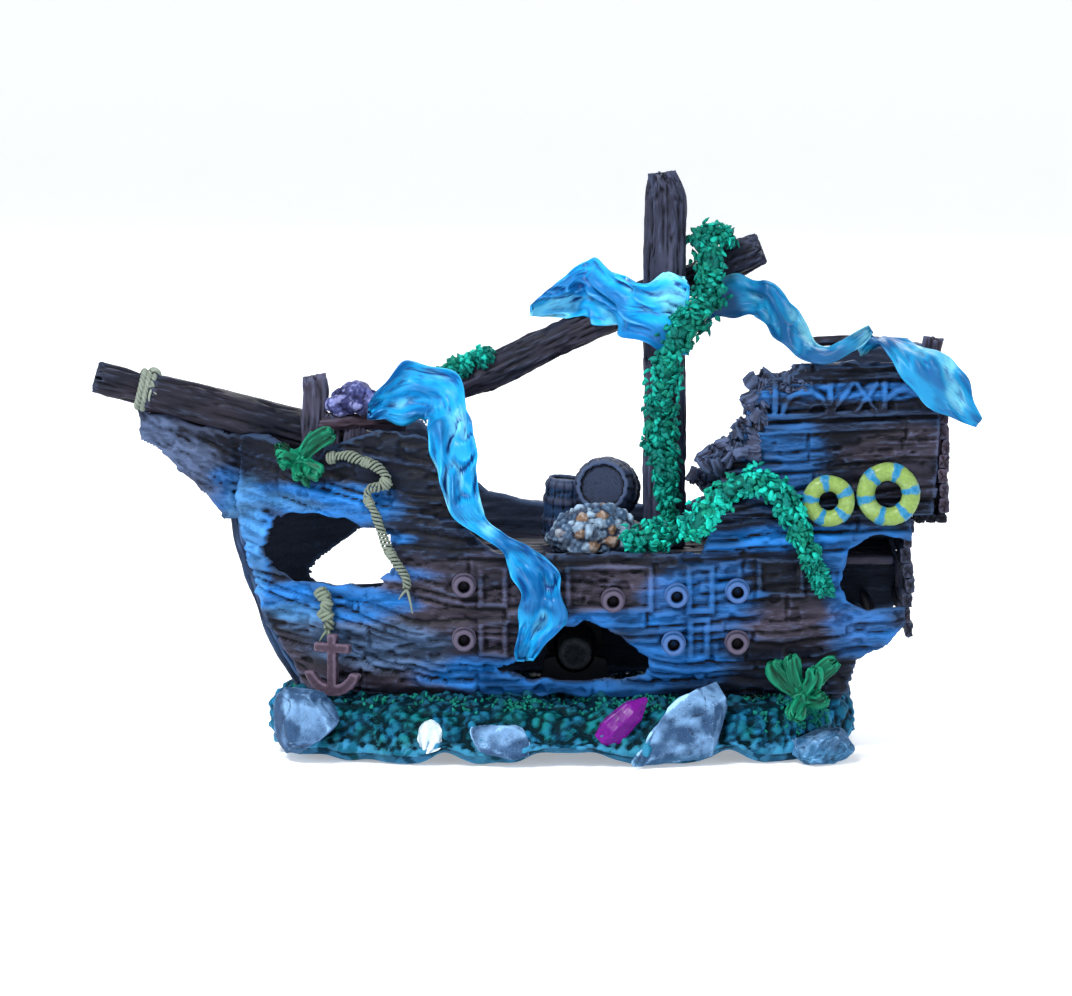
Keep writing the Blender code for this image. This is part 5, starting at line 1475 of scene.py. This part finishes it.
def coat_node(node, finish, colour):
    """A CAD node that keeps its shape and gets a finish: a copy of it with the node's colour."""
    made = finish.copy()
    made.name = node + "_finish"
    tree = made.node_tree
    position = tree.nodes.new("ShaderNodeTexCoord")
    in_mm = tree.nodes.new("ShaderNodeVectorMath")
    in_mm.operation = "SCALE"
    feed(tree, in_mm, {0: position.outputs["Object"], "Scale": 1 / MM})
    for link in list(tree.links):
        attribute = getattr(link.from_node, "attribute_name", None)
        target = link.to_socket
        if attribute == "grain":
            tree.links.new(in_mm.outputs[0], target)
        elif attribute:
            tree.links.remove(link)
            target.default_value = 0.5 if attribute == "relief" else (*colour,
                1)[:len(target.default_value)]
    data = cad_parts[node].data
    data.materials.clear()
    data.materials.append(made)


# Build every piece

def build_ship():
    make_hull(PORT, SHEER_PORT, PORT_HOLES, FRAMES_PORT, "hull_port", 100)
    make_hull(STARBOARD, SHEER_STARBOARD, STARBOARD_HOLES, FRAMES_STARBOARD, "hull_starboard", 200)
    make_castle(PORT, CASTLE_TOP_PORT, "aftcastle_port", 300)
    make_castle(STARBOARD, CASTLE_TOP_STARBOARD, "aftcastle_starboard", 400)
    make_deck("main_deck", (-40, 110), (-32, -14, 9), 1)
    make_deck("fore_deck", (-94, -46), None, 2)
    make_deck("poop_deck", (70, 122), None, 3)
    make_panel("forecastle_bulkhead", 5.2, ((-6, 6, 69, 82),), 11, DARK_WOOD, ragged=5.0)
    make_panel("castle_bulkhead", 5.0, ((-5, 5, 70, 90),), 12, BLUE_WOOD, ragged=2.0)
    make_panel("transom", 0.5, ((-12, 12, 50, 62),), 13, DARK_WOOD, upright=False, ragged=3.0)
    make_panel("stern_gallery", 0.5, ((-18, -9, 94, 108), (-4.5, 4.5, 94, 108), (9, 18, 94, 108)), 14,
        BROWN_WOOD, upright=False, ragged=2.5)
    make_cross_planks()
    make_spars()
    make_stem()
    make_bitts()
    make_sail("sail_fore", SAIL_FORE, 21, 1.75, 1.08)
    make_sail("sail_mid", SAIL_MID, 22, 1.6, 1.3)
    make_sail("sail_aft", SAIL_AFT, 23, 0.85, 0.6)
    make_sail("sail_stern", SAIL_STERN, 24, 0.85, 0.8)
    make_vine("vine_mast", ((56, 3, 168), (51, 3, 170.5), (45.5, 2, 168.5), (48.5, 0, 164), (50, -1, 157),
        (49, -4, 149.5), (44.5, -10, 143.5), (39, -15, 138), (35.5, -15.8, 129), (34, -13.6, 121),
        (33, -11, 106), (34.5, -11, 90), (37, -11, 74)), 3.3, 31, 1.32)
    make_vine("vine_deck", ((43, -17, 76), (43, -28, 77), (44.5, -37.8, 79), (53, -38, 89), (63, -37.5, 93),
        (71, -37.5, 89), (77, -37.5, 79), (82, -38, 68), (86, -38, 57)), 3.3, 32, 1.1, (2.3, 0.75), 2.4)
    make_vine("vine_gunwale", ((36.5, -20, 74), (30, -27, 73.5), (22, -31, 73)), 3.4, 33, 1.2, (1.8, 1.5))
    make_vine("vine_yard", ((-38.8, 8.1, 123), (-31.8, 8.1, 126), (-24.8, 8.1, 129.2)), 2.4, 34)
    make_plant("plant_bow", (-86, -23.5, 97), ((-90.5, -27, 105), (-92.5, -28, 98), (-73.5, -26, 107),
                                                   (-78, -27.5, 93.5), (-84, -28.5, 93)), 41, 9)
    make_plant("plant_stern", (79, -39, 22), ((70, -40, 35), (76, -42, 37), (82, -42, 33), (91, -40, 34),
        (86.5, -43, 24), (76, -44, 15.5)), 42, 7)
    make_ropes()
    make_guns()
    make_life_rings()
    make_castings()
    make_crystal()
    make_barrels()
    make_bubbler()
    # Painted shade: the collar and the cradle are coloured near-black for the shade inside the hull
    coat_node("inlet_collar", DECK_FINISH, (0.012, 0.014, 0.022))
    coat_node("stone_cradle", DECK_FINISH, (0.006, 0.008, 0.014))
    coat_node("air_nipple", PLASTIC_FINISH, (0.42, 0.47, 0.50))


# Stage, lights and camera

CAMERA_DISTANCE = 2.3
FRAMING_LENS, FRAMING_DISTANCE = 90.0, 0.887
CAMERA_ELEVATION = math.radians(8.0)
SKY_LIGHT = 0.45
FLOOR_GLOW = 0.36
FLOOR_DROP = 0.0002

def make_stage():
    """A pale floor that curves up into a low round wall, open above."""
    flat, curve_up = 3.0, 1.5
    profile = [(0.0, 0.0), (flat, 0.0)]
    profile += [(flat + curve_up * math.sin(a), curve_up - curve_up * math.cos(a))
        for a in np.linspace(0, math.pi / 2, 20)[1:]]
    profile.append((flat + curve_up, 3.0))
    count = 96
    a = np.linspace(0, 2 * math.pi, count, endpoint=False)
    points = [(r * math.cos(b), r * math.sin(b), z - FLOOR_DROP) for r, z in profile[1:] for b in a]
    faces = [list(f) for f in grid_faces(len(profile) - 1, count, True)] + [list(range(count))]
    mesh = build_mesh("studio_floor", points, faces, inward=True)
    pale = bpy.data.materials.new("studio_floor")
    pale.use_nodes = True
    feed(pale.node_tree, pale.node_tree.nodes["Principled BSDF"], {
        "Base Color": (0.86, 0.87, 0.88, 1), "Roughness": 0.9,
        "Emission Color": (0.95, 0.97, 1.0, 1), "Emission Strength": FLOOR_GLOW})
    mesh.materials.append(pale)
    add_object("studio_floor", mesh)


def aim(obj, place, target):
    obj.location = place
    obj.rotation_euler = (Vector(target) - obj.location).to_track_quat("-Z", "Y").to_euler()


def add_light(name, place, size, power, colour):
    data = bpy.data.lights.new(name, "AREA")
    data.shape = "DISK"
    data.size = size
    data.energy = power
    data.color = colour
    aim(add_object(name, data), place, (0, 0, 0.08))


def make_studio():
    world = bpy.data.worlds.new("studio_air")
    world.use_nodes = True
    feed(world.node_tree, world.node_tree.nodes["Background"],
        {"Color": (0.94, 0.97, 1.0, 1), "Strength": SKY_LIGHT})
    bpy.context.scene.world = world
    add_light("key", (-0.50, -0.75, 1.05), 0.40, 17, (1.0, 0.99, 0.97))
    add_light("fill", (0.85, -0.95, 0.45), 0.9, 2.0, (0.93, 0.97, 1.0))
    add_light("back", (0.2, 1.0, 0.9), 0.8, 9.0, (0.97, 0.98, 1.0))
    bpy.context.scene.view_settings.view_transform = "Standard"
    data = bpy.data.cameras.new("camera")
    data.lens = FRAMING_LENS * CAMERA_DISTANCE / FRAMING_DISTANCE
    data.clip_end = 20
    camera = add_object("camera", data)
    centre_x = (CAD_BOUNDS[0][0] + CAD_BOUNDS[1][0]) / 2
    look_at = (centre_x + 0.0004, 0.0, 0.0822)
    aim(camera, (look_at[0], -CAMERA_DISTANCE * math.cos(CAMERA_ELEVATION),
                 look_at[2] + CAMERA_DISTANCE * math.sin(CAMERA_ELEVATION)), look_at)
    bpy.context.scene.camera = camera


build_ship()
make_stage()
make_studio()
